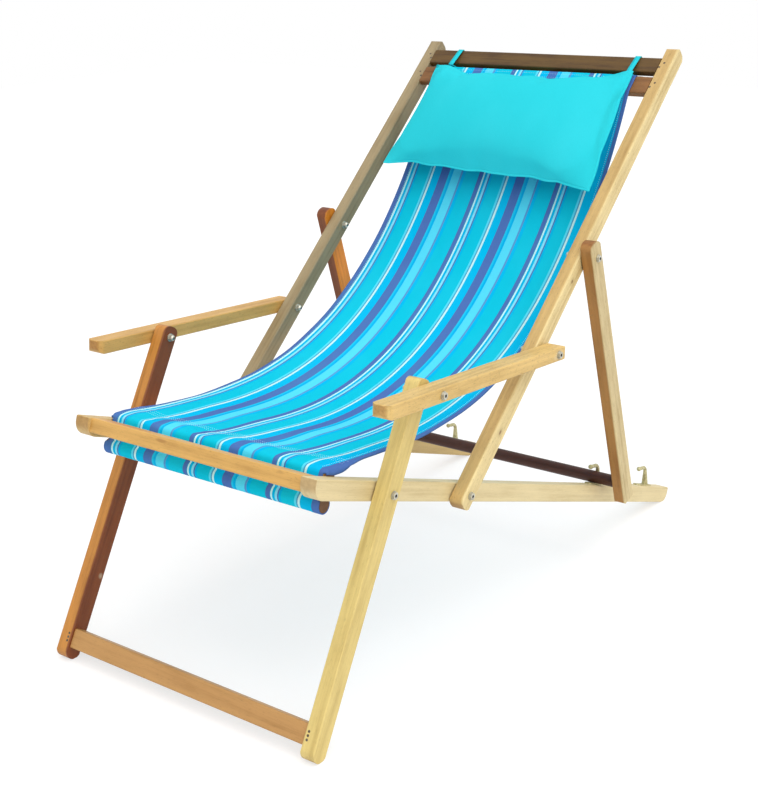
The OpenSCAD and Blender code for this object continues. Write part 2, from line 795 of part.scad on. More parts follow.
rear_part = concat(
    [for (s = [head_lower_a + over_bar_in, head_lower_b - over_bar_in]) [s, over_bar_n]],
    arc([head_lower_b - bar_ease, head_front - bar_ease], head_turn_r, 60, 0, 2),
    [[head_lower_b + hem_gap, head_front - slot_depth]],
    arc(rear_dowel_c, rear_hem_r, rear_hem_enter, rear_hem_end, hem_steps));
sling_line = concat(front_part,
    [for (i = [0:sling_steps]) bezier(sling_curve, i / sling_steps)],
    [for (p = rear_part) on_back(p.x, p.y)]);

// How far each point of the line lies along the free span, from 0 to 1, and outside it 0
free_first = len(front_part);
function span_share(i) = (i < free_first || i > free_first + sling_steps) ? 0 : (i - free_first) / sling_steps;

function line_dir(i) = sling_line[min(i + 1, len(sling_line) - 1)] - sling_line[max(i - 1, 0)];
function line_normal(i) = let (d = line_dir(i) / norm(line_dir(i))) [-d.y, d.x];
function sling_sag(i, x) = sling_cross_sag * pow(sin(180 * span_share(i)), 2)
    * (1 - pow(x / sling_half, 2));

module sling() {
    rows = len(sling_line);
    columns = sling_columns + 1;
    points = [for (off = [cloth_t / 2, -cloth_t / 2]) for (i = [0:rows - 1]) for (j = [0:sling_columns])
        let (x = sling_half * (2 * j / sling_columns - 1),
            p = sling_line[i] + line_normal(i) * (off - sling_sag(i, x)))
        [x, p.x, p.y]];
    function at(side, i, j) = side * rows * columns + i * columns + j;
    faces = concat(
        [for (i = [0:rows - 2]) for (j = [0:sling_columns - 1]) for (t = [0, 1])
            t == 0 ? [at(0, i, j), at(0, i + 1, j), at(0, i + 1, j + 1)]
                : [at(0, i, j), at(0, i + 1, j + 1), at(0, i, j + 1)]],
        [for (i = [0:rows - 2]) for (j = [0:sling_columns - 1]) for (t = [0, 1])
            t == 0 ? [at(1, i, j), at(1, i + 1, j + 1), at(1, i + 1, j)]
                : [at(1, i, j), at(1, i, j + 1), at(1, i + 1, j + 1)]],
        [for (i = [0:rows - 2]) for (t = [0, 1])
            t == 0 ? [at(0, i, 0), at(1, i, 0), at(1, i + 1, 0)]
                : [at(0, i, 0), at(1, i + 1, 0), at(0, i + 1, 0)]],
        [for (i = [0:rows - 2]) for (t = [0, 1])
            t == 0 ? [at(0, i, sling_columns), at(1, i + 1, sling_columns), at(1, i, sling_columns)]
                : [at(0, i, sling_columns), at(0, i + 1, sling_columns), at(1, i + 1, sling_columns)]],
        [for (j = [0:sling_columns - 1]) for (t = [0, 1])
            t == 0 ? [at(0, 0, j), at(0, 0, j + 1), at(1, 0, j + 1)]
                : [at(0, 0, j), at(1, 0, j + 1), at(1, 0, j)]],
        [for (j = [0:sling_columns - 1]) for (t = [0, 1])
            t == 0 ? [at(0, rows - 1, j), at(1, rows - 1, j + 1), at(0, rows - 1, j + 1)]
                : [at(0, rows - 1, j), at(1, rows - 1, j), at(1, rows - 1, j + 1)]]);
    color("steelblue") in_chair() polyhedron(points, faces);
}

// Pillow: a crowned bag, thickest in the middle, with its sides drawn in between the corners

pillow_top = [back_above - pillow_drop, pillow_stand_off];
pillow_columns = 20;
pillow_rows = 14;
side_draw = 9;
seam_t = 3;
// The rear half is flat against the head bars and fills out below them, as shares of the height
rear_flat = 0.14;
rear_full = 0.6;

function crown(u) = pow(1 - pow(abs(u), 2.6), 0.62);
function smooth(t) = t * t * (3 - 2 * t);
function rear_fill(v) = smooth(max(0, min(1, ((1 - v) / 2 - rear_flat) / (rear_full - rear_flat))));
function pillow_half_w(v) = (pillow_w * (1 - v) + pillow_top_w * (1 + v)) / 4 - side_draw * (1 - v * v);
function pillow_half_h(u) = pillow_h / 2 - side_draw * (1 - u * u);

module pillow() {
    columns = pillow_columns + 1;
    count = columns * (pillow_rows + 1);
    points = [for (face = [1, -1]) for (i = [0:pillow_rows]) for (j = [0:pillow_columns])
        let (u = sin(90 * (2 * j / pillow_columns - 1)), v = sin(90 * (2 * i / pillow_rows - 1)),
            full = face > 0 ? pillow_front_t - seam_t / 2 : (pillow_rear_t - seam_t / 2) * rear_fill(v))
        [u * pillow_half_w(v), v * pillow_half_h(u), face * (seam_t / 2 + full * crown(u) * crown(v))]];
    function at(f, i, j) = f * count + i * columns + j;
    skin = [for (i = [0:pillow_rows - 1]) for (j = [0:pillow_columns - 1]) for (t = [0, 1])
        t == 0 ? [[i, j], [i + 1, j + 1], [i, j + 1]] : [[i, j], [i + 1, j], [i + 1, j + 1]]];
    rim = concat(
        [for (j = [0:pillow_columns - 1]) [[0, j], [0, j + 1]]],
        [for (i = [0:pillow_rows - 1]) [[i, pillow_columns], [i + 1, pillow_columns]]],
        [for (j = [0:pillow_columns - 1]) [[pillow_rows, j + 1], [pillow_rows, j]]],
        [for (i = [0:pillow_rows - 1]) [[i + 1, 0], [i, 0]]]);
    faces = concat(
        [for (f = skin) [for (p = f) at(0, p[0], p[1])]],
        [for (f = skin) [for (k = [2, 1, 0]) at(1, f[k][0], f[k][1])]],
        [for (e = rim) [at(0, e[0][0], e[0][1]), at(0, e[1][0], e[1][1]), at(1, e[1][0], e[1][1])]],
        [for (e = rim) [at(0, e[0][0], e[0][1]), at(1, e[1][0], e[1][1]), at(1, e[0][0], e[0][1])]]);
    color("turquoise") placed(on_back(pillow_top.x, pillow_top.y), back_open + pillow_lean, 0)
        translate([0, -pillow_h / 2, 0]) polyhedron(points, faces);
}

// A loop of tape runs from the pillow's top seam round the upper head bar and back
loop_seat = 0.5;
loop_end = pillow_top - (side_draw * (1 - pow(2 * loop_at / pillow_top_w, 2)) - loop_seat) * ray(pillow_lean);
loop_fork = 4;

module loop_outline(g, end) {
    polygon(concat([[head_upper_a - g, head_rear - g], [head_upper_b + g, head_rear - g],
        [head_upper_b + g, head_front + g]], end));
}

module pillow_loops() {
    color("darkturquoise") for (side = [1, -1])
        placed(hinge_b, back_open, side * loop_at - loop_w / 2)
        rotate([90, 0, 90]) linear_extrude(loop_w) difference() {
            loop_outline(cloth_gap + loop_t, [for (k = [1, -1]) loop_end + [0, k * loop_t]]);
            loop_outline(cloth_gap, [loop_end + loop_fork * [1, -0.4]]);
        }
}

seat_rail(1);  // seat_rail_left
seat_rail(-1);  // seat_rail_right
front_cross_rail();
second_cross_rail();
front_hem_dowel();
hook(1, hook_places[0]);  // front_hook_left
hook(-1, hook_places[0]);  // front_hook_right
hook(1, hook_places[1]);  // rear_hook_left
hook(-1, hook_places[1]);  // rear_hook_right
hook_screws();
seat_pivot_bolts();
seat_pivot_washers();
seat_pivot_cap_nuts();
sling();
back_rail(1);  // back_rail_left
back_rail(-1);  // back_rail_right
upper_head_bar();
lower_head_bar();
rear_hem_dowel();
head_bar_screws();
back_pivot_bolts();
back_pivot_washers();
back_pivot_cap_nuts();
leg(1);  // leg_left
leg(-1);  // leg_right
stretcher();
stretcher_nails();
leg_pivot_stubs();
leg_pivot_washers();
leg_pivot_cap_nuts();
arm(1);  // arm_left
arm_bolt(1);  // arm_bolt_left
arm_washer(1);  // arm_washer_left
arm(-1);  // arm_right
arm_bolt(-1);  // arm_bolt_right
arm_washer(-1);  // arm_washer_right
prop_leg(1);  // prop_leg_left
prop_leg(-1);  // prop_leg_right
prop_bar();
pillow();
pillow_loops();
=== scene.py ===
import math
import random

import bmesh
import bpy
import numpy as np
from mathutils import Matrix, Vector, noise


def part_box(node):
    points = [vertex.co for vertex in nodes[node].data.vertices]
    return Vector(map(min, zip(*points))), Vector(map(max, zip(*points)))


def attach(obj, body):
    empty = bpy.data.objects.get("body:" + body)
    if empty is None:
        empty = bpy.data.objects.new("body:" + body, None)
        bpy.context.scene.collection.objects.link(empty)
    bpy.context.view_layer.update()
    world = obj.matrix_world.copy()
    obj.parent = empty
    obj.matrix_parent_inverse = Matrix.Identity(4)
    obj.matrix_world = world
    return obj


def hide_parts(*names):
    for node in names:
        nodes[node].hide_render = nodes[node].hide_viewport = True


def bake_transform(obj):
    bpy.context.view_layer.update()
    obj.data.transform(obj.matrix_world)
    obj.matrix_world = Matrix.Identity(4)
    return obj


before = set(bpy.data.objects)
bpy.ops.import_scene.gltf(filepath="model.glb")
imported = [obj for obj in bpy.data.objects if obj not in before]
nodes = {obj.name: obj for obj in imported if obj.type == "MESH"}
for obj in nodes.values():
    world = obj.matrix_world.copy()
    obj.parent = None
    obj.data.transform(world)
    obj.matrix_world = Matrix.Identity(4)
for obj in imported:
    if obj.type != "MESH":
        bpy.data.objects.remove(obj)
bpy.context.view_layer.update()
random.seed(7)
print("frame loaded:", len(nodes), "nodes")

cameraView = {
    "place": (1.3883, -1.9337, 1.1325),
    "azimuth": 39.52,      # degrees round the chair, 0 looks along +Y
    "elevation": 15.73,
    "roll": -1.82,
    "lens": 65.08,
    "shift": (0.09375, -0.09375),
}


def addObject(name, data):
    made = bpy.data.objects.new(name, data)
    bpy.context.scene.collection.objects.link(made)
    return made


def addCamera():
    azimuth, elevation, roll = (math.radians(cameraView[k]) for k in ("azimuth", "elevation", "roll"))
    back = Vector((math.sin(azimuth) * math.cos(elevation), -math.cos(azimuth) * math.cos(elevation),
                   math.sin(elevation)))
    right = Vector((math.cos(azimuth), math.sin(azimuth), 0))
    up = back.cross(right)
    turnedRight = right * math.cos(roll) + up * math.sin(roll)
    turnedUp = up * math.cos(roll) - right * math.sin(roll)
    data = bpy.data.cameras.new("camera")
    data.lens = cameraView["lens"]
    data.shift_x, data.shift_y = cameraView["shift"]
    data.clip_start, data.clip_end = 0.05, 60
    camera = addObject("camera", data)
    turn = Matrix((turnedRight, turnedUp, back)).transposed().to_4x4()
    camera.matrix_world = Matrix.Translation(cameraView["place"]) @ turn
    bpy.context.scene.camera = camera


addCamera()
print("camera set")

# the chair's own side view, in the plane of the seat rails
chair = {
    "base": (-0.181927, 0.269082),   # back pivot, Y and Z in metres
    "slope": 19.0452,                # fall of the seat rails to the rear
    "back": 60.5445,                 # angle of the back rails to the seat rails
    "legPivot": (-0.383268, 0.338587), "armPivot": (0.022165, 0.449644),
    "elbowPivot": (-0.307974, 0.473499), "propPivot": (0.166341, 0.577196),
}


def ray(angle, length=1.0):
    return np.array((math.cos(math.radians(angle)), math.sin(math.radians(angle)))) * length


# from the rail frame in mm to the chair's Y and Z in metres
def seatPlane(point):
    x, y = np.asarray(point) / 1000
    return np.array(chair["base"]) + x * ray(-chair["slope"]) + y * ray(90 - chair["slope"])


def onBack(along, front):
    return ray(chair["back"], along) + ray(chair["back"] + 90, front)


def arc(centre, radius, start, stop, count):
    return [np.asarray(centre) + ray(start + (stop - start) * i / count, radius) for i in range(count + 1)]


def smooth(t):
    t = max(0.0, min(1.0, t))
    return t * t * (3 - 2 * t)


# sRGB 0-255 to linear
def linear(colour):
    parts = [c / 255 for c in colour]
    return tuple(c / 12.92 if c <= 0.04045 else ((c + 0.055) / 1.055) ** 2.4 for c in parts) + (1.0,)


def newMaterial(name, **sockets):
    material = bpy.data.materials.new(name)
    material.use_nodes = True
    shader = material.node_tree.nodes["Principled BSDF"]
    for socket, value in sockets.items():
        shader.inputs[socket.replace("_", " ")].default_value = value
    return material, material.node_tree, shader


def addNode(tree, kind, inputs=(), **settings):
    made = tree.nodes.new("ShaderNode" + kind)
    for key, value in settings.items():
        setattr(made, key, value)
    for key, value in dict(inputs).items():
        if isinstance(value, bpy.types.NodeSocket):
            tree.links.new(value, made.inputs[key])
        else:
            made.inputs[key].default_value = value
    return made


def calculate(tree, operation, a, b=0.0, clamp=False):
    return addNode(tree, "Math", {0: a, 1: b}, operation=operation, use_clamp=clamp).outputs[0]


# a and a share of b
def added(tree, a, b, share):
    return calculate(tree, "ADD", a, calculate(tree, "MULTIPLY", b, share))


def vectorMath(tree, operation, *inputs):
    outputs = addNode(tree, "VectorMath", enumerate(inputs), operation=operation).outputs
    return outputs["Value" if operation in ("DISTANCE", "DOT_PRODUCT", "LENGTH") else "Vector"]


def scaled(tree, vector, amounts):
    return vectorMath(tree, "MULTIPLY", vector, amounts)


def mixed(tree, factor, a, b, blend="MIX"):
    return addNode(tree, "Mix", {0: factor, 6: a, 7: b}, data_type="RGBA", blend_type=blend).outputs[2]


def remapped(tree, value, fromLow, fromHigh, toLow=0.0, toHigh=1.0):
    inputs = {"Value": value, "From Min": fromLow, "From Max": fromHigh, "To Min": toLow, "To Max": toHigh}
    return addNode(tree, "MapRange", inputs).outputs[0]


def noiseOf(tree, vector, scale, detail=3.0, roughness=0.55):
    return addNode(tree, "TexNoise", {"Vector": vector, "Scale": scale, "Detail": detail,
                                      "Roughness": roughness}).outputs[0]


def ramp(tree, factor, stops, steps=False):
    made = addNode(tree, "ValToRGB", {"Fac": factor})
    bar = made.color_ramp
    bar.interpolation = "CONSTANT" if steps else "LINEAR"
    while len(bar.elements) < len(stops):
        bar.elements.new(1.0)
    for element, (place, colour) in zip(bar.elements, stops):
        element.position = place
        element.color = colour
    return made.outputs[0]


def finishSurface(tree, shader, colour, height, strength, depth):
    tree.links.new(colour, shader.inputs["Base Color"])
    bump = addNode(tree, "Bump", {"Strength": strength, "Distance": depth, "Height": height})
    tree.links.new(bump.outputs[0], shader.inputs["Normal"])


# direction of each piece's grain, degrees up from +Y, or across the chair
grainAngles = {"rail": -19.045, "back": 41.5, "leg": 60.834, "arm": -4.133, "prop": 106.742, "across": None}

# base tone, spread of the tones, width of a growth ring in mm, share of rings, pores and mottling
woodColumns = ("base", "spread", "ring", "rings", "pores", "mottle")
woodLooks = {
    "railNear": ((216, 197, 149), 0.09, 9, 0.08, 0.25, 0.6),
    "railFar": ((200, 168, 108), 0.12, 7, 0.09, 0.3, 0.6),
    "backNear": ((196, 163, 104), 0.13, 7, 0.08, 0.7, 0.8),
    "backFar": ((154, 136, 102), 0.11, 6, 0.11, 0.4, 0.9),
    "legNear": ((214, 190, 118), 0.10, 9, 0.08, 0.4, 0.8),
    "legFar": ((190, 128, 56), 0.16, 9, 0.08, 0.4, 0.9),
    "armNear": ((212, 178, 110), 0.12, 6, 0.09, 1.0, 1.0),
    "armFar": ((198, 154, 84), 0.12, 6, 0.09, 0.7, 0.9),
    "propNear": ((170, 120, 62), 0.14, 7, 0.09, 0.5, 0.9),
    "propFar": ((128, 70, 34), 0.16, 6, 0.09, 0.4, 0.9),
    "stretcher": ((184, 138, 82), 0.11, 8, 0.08, 0.4, 0.7),
    "frontRail": ((206, 160, 88), 0.12, 7, 0.09, 0.5, 0.9),
    "headBar": ((90, 63, 18), 0.24, 6, 0.09, 0.6, 1.3),
    "headBarLow": ((124, 82, 40), 0.22, 6, 0.09, 0.6, 1.1),
    "propBar": ((74, 38, 26), 0.20, 6, 0.11, 0.5, 0.8),
    "hemDowel": ((122, 91, 66), 0.16, 4, 0.16, 0.5, 0.5),
}

# "side" is a tone painted on the face towards +X: painted light where that face is lit paler, painted shade
# where it lies darker; knots lie on that face: along the back rail and radius, mm;
# "marks" are worn or stained spots: centre and reach in metres, tone and strength
woodExtras = {
    "backNear": dict(side=(220, 198, 142), knots=[(115.5, 3.0), (411.7, 2.6)]),
    "backFar": dict(side=(140, 124, 92)),
    "legFar": dict(side=(122, 60, 18),
                   marks=[((-0.252, -0.497, 0.118), (0.02, 0.005, 0.006), (206, 190, 160), 0.6)]),
    "armNear": dict(marks=[((0.2986, 0.0222, 0.4496), (0.004, 0.016, 0.008), (236, 218, 178), 0.5)]),
    "propNear": dict(side=(200, 180, 132)),
    "propFar": dict(side=(208, 128, 36)),
    "frontRail": dict(marks=[((-0.15, -0.503, 0.397), (0.055, 0.0125, 0.006), (186, 116, 44), 0.8),
                             ((-0.06, -0.5195, 0.395), (0.012, 0.004, 0.003), (150, 100, 50), 0.5),
                             ((0.17, -0.5195, 0.398), (0.010, 0.003, 0.004), (142, 104, 60), 0.4)]),
}

# what all the wood shares: scales of the noises per metre, across, along and up; how strongly each shows
woodGrain = {
    "wander": (9, 1.2, 9), "wanderReach": (0.016, 0.0, 0.016), "ringsAlong": (1, 0.10, 1),
    "streaks": (150, 3.5, 150), "mottling": (38, 9, 38), "fibres": (1100, 26, 1100), "pores": (950, 120, 950),
    "streakShare": 0.9, "mottleShare": 1.3, "fibreShare": 0.35, "poreRange": (0.60, 0.74),
    "darker": (2.6, 3.2, 4.2), "lighter": (1.7, 1.8, 1.9),   # times the look's spread, red, green and blue
    "knotTone": (112, 74, 44), "knotShare": 0.75, "knotHalo": 0.35, "knotShape": (0.3, 0.6, 1),
    "endTone": (0.72, 0.62, 0.54, 1), "roughness": (0.58, 0.44), "specular": 0.32, "bump": 0.3,
}

woodPieces = {
    "seat_rail_left": ("railNear", "rail"), "seat_rail_right": ("railFar", "rail"),
    "back_rail_left": ("backNear", "back"), "back_rail_right": ("backFar", "back"),
    "leg_left": ("legNear", "leg"), "leg_right": ("legFar", "leg"),
    "arm_left": ("armNear", "arm"), "arm_right": ("armFar", "arm"),
    "prop_leg_left": ("propNear", "prop"), "prop_leg_right": ("propFar", "prop"),
    "stretcher": ("stretcher", "across"), "front_cross_rail": ("frontRail", "across"),
    "second_cross_rail": ("stretcher", "across"), "upper_head_bar": ("headBar", "across"),
    "lower_head_bar": ("headBarLow", "across"), "prop_bar": ("propBar", "across"),
    "front_hem_dowel": ("hemDowel", "across"), "rear_hem_dowel": ("hemDowel", "across"),
}


# coordinates with Y along the grain, from a pith that lies beside the piece
def grainPlace(tree, node, grain, pith):
    angle = grainAngles[grain]
    turn = (0, 0, math.pi / 2) if angle is None else (-math.radians(angle), 0, 0)
    low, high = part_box(node)
    rotation = Matrix.Rotation(turn[2], 3, "Z") @ Matrix.Rotation(turn[0], 3, "X")
    shift = Vector(pith) - rotation @ ((low + high) / 2)
    along = (1, 0, 0) if angle is None else (0, *ray(angle))
    coordinates = addNode(tree, "TexCoord").outputs
    inputs = {"Vector": coordinates["Object"], "Location": shift, "Rotation": turn}
    place = addNode(tree, "Mapping", inputs).outputs[0]
    endOn = calculate(tree, "ABSOLUTE", vectorMath(tree, "DOT_PRODUCT", coordinates["Normal"], along))
    return coordinates["Object"], place, endOn, lambda point: rotation @ Vector(point) + shift


# knots darken the face towards +X
def addKnots(tree, colour, node, look, place, toPlace, streaks):
    w = woodGrain
    for along, radius in look.get("knots", ()):
        y, z = seatPlane(onBack(along, 1.5))
        centre = toPlace((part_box(node)[1].x, y, z))
        squeezed = [a * b for a, b in zip(centre, w["knotShape"])]
        apart = vectorMath(tree, "DISTANCE", scaled(tree, place, w["knotShape"]), squeezed)
        apart = added(tree, apart, streaks, 0.002)
        core = remapped(tree, apart, radius / 1000 + 0.0012, radius / 1000 - 0.0004)
        halo = remapped(tree, apart, 2.6 * radius / 1000 + 0.001, radius / 1000)
        for mask, share, tone in ((halo, w["knotHalo"], [0.78 * c for c in look["base"]]),
                                  (core, w["knotShare"], w["knotTone"])):
            colour = mixed(tree, calculate(tree, "MULTIPLY", mask, share), colour, linear(tone))
    return colour


# worn and stained spots, with an edge that follows the grain
def addMarks(tree, colour, look, place3d, streaks):
    for centre, reach, tone, strength in look.get("marks", ()):
        away = vectorMath(tree, "DIVIDE", vectorMath(tree, "SUBTRACT", place3d, centre), reach)
        away = added(tree, vectorMath(tree, "LENGTH", away), streaks, 0.9)
        share = remapped(tree, away, 1.6, 1.0, 0.0, strength)
        colour = mixed(tree, share, colour, linear(tone))
    return colour


def woodMaterial(node, lookName, grain):
    look, w = dict(zip(woodColumns, woodLooks[lookName])), woodGrain
    look.update(woodExtras.get(lookName, {}))
    material, tree, shader = newMaterial("wood_" + node, Coat_Weight=0.10, Coat_Roughness=0.35,
                                         Specular_IOR_Level=w["specular"])
    pith = (random.uniform(0.05, 0.09), random.uniform(-9, 9), random.uniform(0.05, 0.1))
    place3d, place, endOn, toPlace = grainPlace(tree, node, grain, pith)
    # growth rings run along the piece and wander a little
    wander = addNode(tree, "TexNoise", {"Vector": scaled(tree, place, w["wander"]), "Scale": 1.0,
                                        "Detail": 2.0}).outputs["Color"]
    bent = vectorMath(tree, "MULTIPLY_ADD", wander, w["wanderReach"], scaled(tree, place, w["ringsAlong"]))
    ringScale = 0.314 / (look["ring"] / 1000)   # the wave's scale for rings of this width
    rings = addNode(tree, "TexWave", {"Vector": bent, "Scale": ringScale, "Distortion": 1.2, "Detail": 2.0,
                                      "Detail Scale": 1.2},
                    wave_type="RINGS", rings_direction="Y").outputs[0]
    streaks, mottling, fibres, pores = (
        noiseOf(tree, scaled(tree, place, w[name]), 1.0, detail, 0.6)
        for name, detail in (("streaks", 4.0), ("mottling", 4.0), ("fibres", 2.0), ("pores", 2.0)))
    tone = calculate(tree, "MULTIPLY", calculate(tree, "SUBTRACT", rings, 0.5), look["rings"])
    for layer, share in ((streaks, w["streakShare"]), (mottling, w["mottleShare"] * look["mottle"]),
                         (fibres, w["fibreShare"])):
        tone = added(tree, tone, calculate(tree, "SUBTRACT", layer, 0.5), share)
    tone = calculate(tree, "ADD", tone, 0.5)
    colour = linear(look["base"])
    if "side" in look:
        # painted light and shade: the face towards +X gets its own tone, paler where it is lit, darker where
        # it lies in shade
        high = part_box(node)[1]
        edge = added(tree, addNode(tree, "SeparateXYZ", {0: place3d}).outputs[0], streaks, 0.004)
        share = remapped(tree, edge, high.x - 0.002, high.x + 0.001)
        colour = mixed(tree, share, colour, linear(look["side"]))
    dark = [1 - share * look["spread"] for share in w["darker"]]
    light = [1 + share * look["spread"] for share in w["lighter"]]
    shade = ramp(tree, tone, [(0.05, (*dark, 1)), (0.5, (1, 1, 1, 1)), (0.95, (*light, 1))])
    colour = mixed(tree, 1.0, colour, shade, "MULTIPLY")
    poreMask = calculate(tree, "MULTIPLY", remapped(tree, pores, *w["poreRange"]), look["pores"])
    colour = mixed(tree, poreMask, colour, linear([0.66 * c for c in look["base"]]))
    colour = addKnots(tree, colour, node, look, place, toPlace, streaks)
    colour = addMarks(tree, colour, look, place3d, streaks)
    # sawn ends soak up more finish
    endMask = remapped(tree, endOn, 0.75, 0.97)
    ends = mixed(tree, 1.0, colour, w["endTone"], "MULTIPLY")
    colour = mixed(tree, endMask, colour, ends)
    height = calculate(tree, "SUBTRACT", calculate(tree, "MULTIPLY", fibres, 0.8), poreMask)
    finishSurface(tree, shader, colour, height, w["bump"], 0.0002)
    tree.links.new(remapped(tree, mottling, 0.25, 0.75, *w["roughness"]), shader.inputs["Roughness"])
    return material


def dressNode(name, material):
    piece = nodes[name]
    piece.data.materials.clear()
    piece.data.materials.append(material)


for name, (lookName, grain) in woodPieces.items():
    dressNode(name, woodMaterial(name, lookName, grain))
print("wood dressed:", len(woodPieces), "pieces")

metalLooks = {
    "zinc": dict(colour=(206, 204, 190), stain=(166, 162, 148), metallic=0.75, rough=(0.3, 0.5), bump=0.15,
                 socket=2.6),
    "darkSteel": dict(colour=(108, 98, 86), stain=(72, 62, 52), metallic=0.8, rough=(0.4, 0.6), bump=0.2),
    "hookBrass": dict(colour=(204, 196, 152), stain=(160, 148, 102), metallic=0.45, rough=(0.38, 0.58),
                      bump=0.3),
}

# scales of the tarnish and of the fine grit, and the painted shade that darkens the sockets
metalWearAndShade = {"patches": 160.0, "grit": 1400.0, "grime": (64, 60, 54), "grimeShare": 0.9}


def metalMaterial(name):
    look = metalLooks[name]
    material, tree, shader = newMaterial("metal_" + name, Metallic=look["metallic"])
    place = addNode(tree, "TexCoord").outputs["Object"]
    patches = noiseOf(tree, place, metalWearAndShade["patches"], 4.0, 0.6)
    grit = noiseOf(tree, place, metalWearAndShade["grit"], 2.0, 0.6)
    colour = ramp(tree, patches, [(0.3, linear(look["stain"])), (0.62, linear(look["colour"]))])
    if "socket" in look:
        # painted shade: the sockets in the bolt heads are darkened as if they lay in shadow
        nearest = 1.0
        flat = scaled(tree, place, (0, 1, 1))
        for key in ("base", "legPivot", "armPivot", "elbowPivot", "propPivot"):
            apart = vectorMath(tree, "DISTANCE", flat, (0, *chair[key]))
            nearest = calculate(tree, "MINIMUM", apart, nearest)
        reach = look["socket"] / 1000
        grime = remapped(tree, nearest, reach + 0.0002, reach - 0.0004)
        grime = calculate(tree, "MULTIPLY", grime, metalWearAndShade["grimeShare"])
        colour = mixed(tree, grime, colour, linear(metalWearAndShade["grime"]))
    finishSurface(tree, shader, colour, grit, look["bump"], 0.0002)
    bright, dull = look["rough"]
    tree.links.new(remapped(tree, patches, 0.3, 0.7, dull, bright), shader.inputs["Roughness"])
    return material


zinc, darkSteel, hookBrass = (metalMaterial(n) for n in ("zinc", "darkSteel", "hookBrass"))
for name in nodes:
    if any(part in name for part in ("hook_screws", "pivot", "arm_bolt", "arm_washer")):
        dressNode(name, zinc)
    elif name in ("stretcher_nails", "head_bar_screws"):
        dressNode(name, darkSteel)
    elif "_hook_" in name:
        dressNode(name, hookBrass)
print("metal dressed")

slingStripes = {
    "repeat": 162.5,   # mm across the cloth
    "start": -207.4,   # what lies beyond has the first colour
    "last": (190.0, 5.2),   # from here it is moved out: the outermost stripe is narrower
    # where each stripe of one repeat starts, mm, and its colour
    "bands": [
        (0.0, (78, 112, 178)), (7.9, (24, 158, 200)), (9.0, (196, 242, 242)), (12.2, (4, 182, 231)),
        (17.2, (134, 222, 245)), (21.6, (76, 110, 178)), (24.6, (4, 182, 229)), (29.0, (14, 193, 220)),
        (53.0, (88, 216, 240)), (57.0, (80, 156, 198)), (59.6, (200, 240, 240)), (63.0, (4, 184, 233)),
        (79.2, (78, 112, 178)), (97.4, (34, 192, 234)), (101.2, (4, 176, 231)), (105.4, (84, 214, 242)),
        (123.0, (86, 150, 208)), (126.4, (4, 184, 233)), (133.0, (15, 193, 220))],
}

clothLook = {
    "slubs": (1500, 130, 1), "fadePatches": (9, 5, 1),       # scales across and along, per metre
    "threadShade": 0.04, "slubShade": 0.12, "ground": 0.94,  # how the threads darken the colour
    "fadeTone": (0.1, 0.85, 0.95, 1), "bump": 0.4, "bumpDepth": 0.00025,
    "pillowTone": (46, 204, 217), "threadTone": (196, 226, 236),
}


# crossing threads, from the piece's own cloth coordinates in metres
def weave(tree, pitch):
    place = addNode(tree, "UVMap", uv_map="cloth").outputs[0]
    split = addNode(tree, "SeparateXYZ", {0: place})
    waves = [calculate(tree, "SINE", calculate(tree, "MULTIPLY", split.outputs[k], 2 * math.pi / pitch))
             for k in (0, 1)]
    over = calculate(tree, "MULTIPLY", *waves)
    slubs = noiseOf(tree, scaled(tree, place, clothLook["slubs"]), 1.0, 2.0)
    return place, split.outputs[0], over, slubs


def clothMaterial(name, pitch, colourOf, fade):
    look = clothLook
    material, tree, shader = newMaterial(name, Roughness=0.92, Specular_IOR_Level=0.03)
    place, across, over, slubs = weave(tree, pitch)
    threads = added(tree, calculate(tree, "MULTIPLY", over, look["threadShade"]), slubs, look["slubShade"])
    grey = calculate(tree, "ADD", threads, look["ground"])
    shade = addNode(tree, "CombineColor", {0: grey, 1: grey, 2: grey}).outputs[0]
    colour = mixed(tree, 1.0, colourOf(tree, across), shade, "MULTIPLY")
    faded = noiseOf(tree, scaled(tree, place, look["fadePatches"]), 1.0, 3.0)
    colour = mixed(tree, remapped(tree, faded, 0.45, 0.8, 0.0, fade), colour, look["fadeTone"])
    finishSurface(tree, shader, colour, added(tree, over, slubs, 0.8), look["bump"], look["bumpDepth"])
    return material


def stripeColour(tree, across):
    pattern = slingStripes
    lastFrom, movedOut = pattern["last"]
    turns = calculate(tree, "DIVIDE", calculate(tree, "SUBTRACT", across, pattern["start"] / 1000),
                      pattern["repeat"] / 1000)
    late = calculate(tree, "GREATER_THAN", across, lastFrom / 1000)
    late = calculate(tree, "MULTIPLY", late, movedOut / pattern["repeat"])
    turns = calculate(tree, "SUBTRACT", turns, late)
    share = calculate(tree, "FRACT", calculate(tree, "MAXIMUM", turns, 0.0))
    bands = [(at / pattern["repeat"], linear(tone)) for at, tone in pattern["bands"]]
    return ramp(tree, share, bands, steps=True)


# name, pitch of the threads in metres, colour and share of fading
slingCloth = clothMaterial("cloth_sling", 0.0012, stripeColour, 0.08)
pillowCloth = clothMaterial("cloth_pillow", 0.0009, lambda *unused: linear(clothLook["pillowTone"]), 0.12)
threadCloth = clothMaterial("cloth_thread", 0.0006, lambda *unused: linear(clothLook["threadTone"]), 0.05)
print("cloth mixed")


# a smooth piece with its cloth coordinates, one for each vertex
def finishPiece(name, mesh, flat, material):
    layer = mesh.uv_layers.new(name="cloth")
    for loop in mesh.loops:
        layer.data[loop.index].uv = flat[loop.vertex_index]
    for face in mesh.polygons:
        face.use_smooth = True
    mesh.materials.append(material)
    return addObject(name, mesh)


def faceOutwards(mesh, mergeDistance=0.0):
    work = bmesh.new()
    work.from_mesh(mesh)
    if mergeDistance:
        bmesh.ops.remove_doubles(work, verts=work.verts, dist=mergeDistance)
    bmesh.ops.recalc_face_normals(work, faces=work.faces)
    work.to_mesh(mesh)
    work.free()


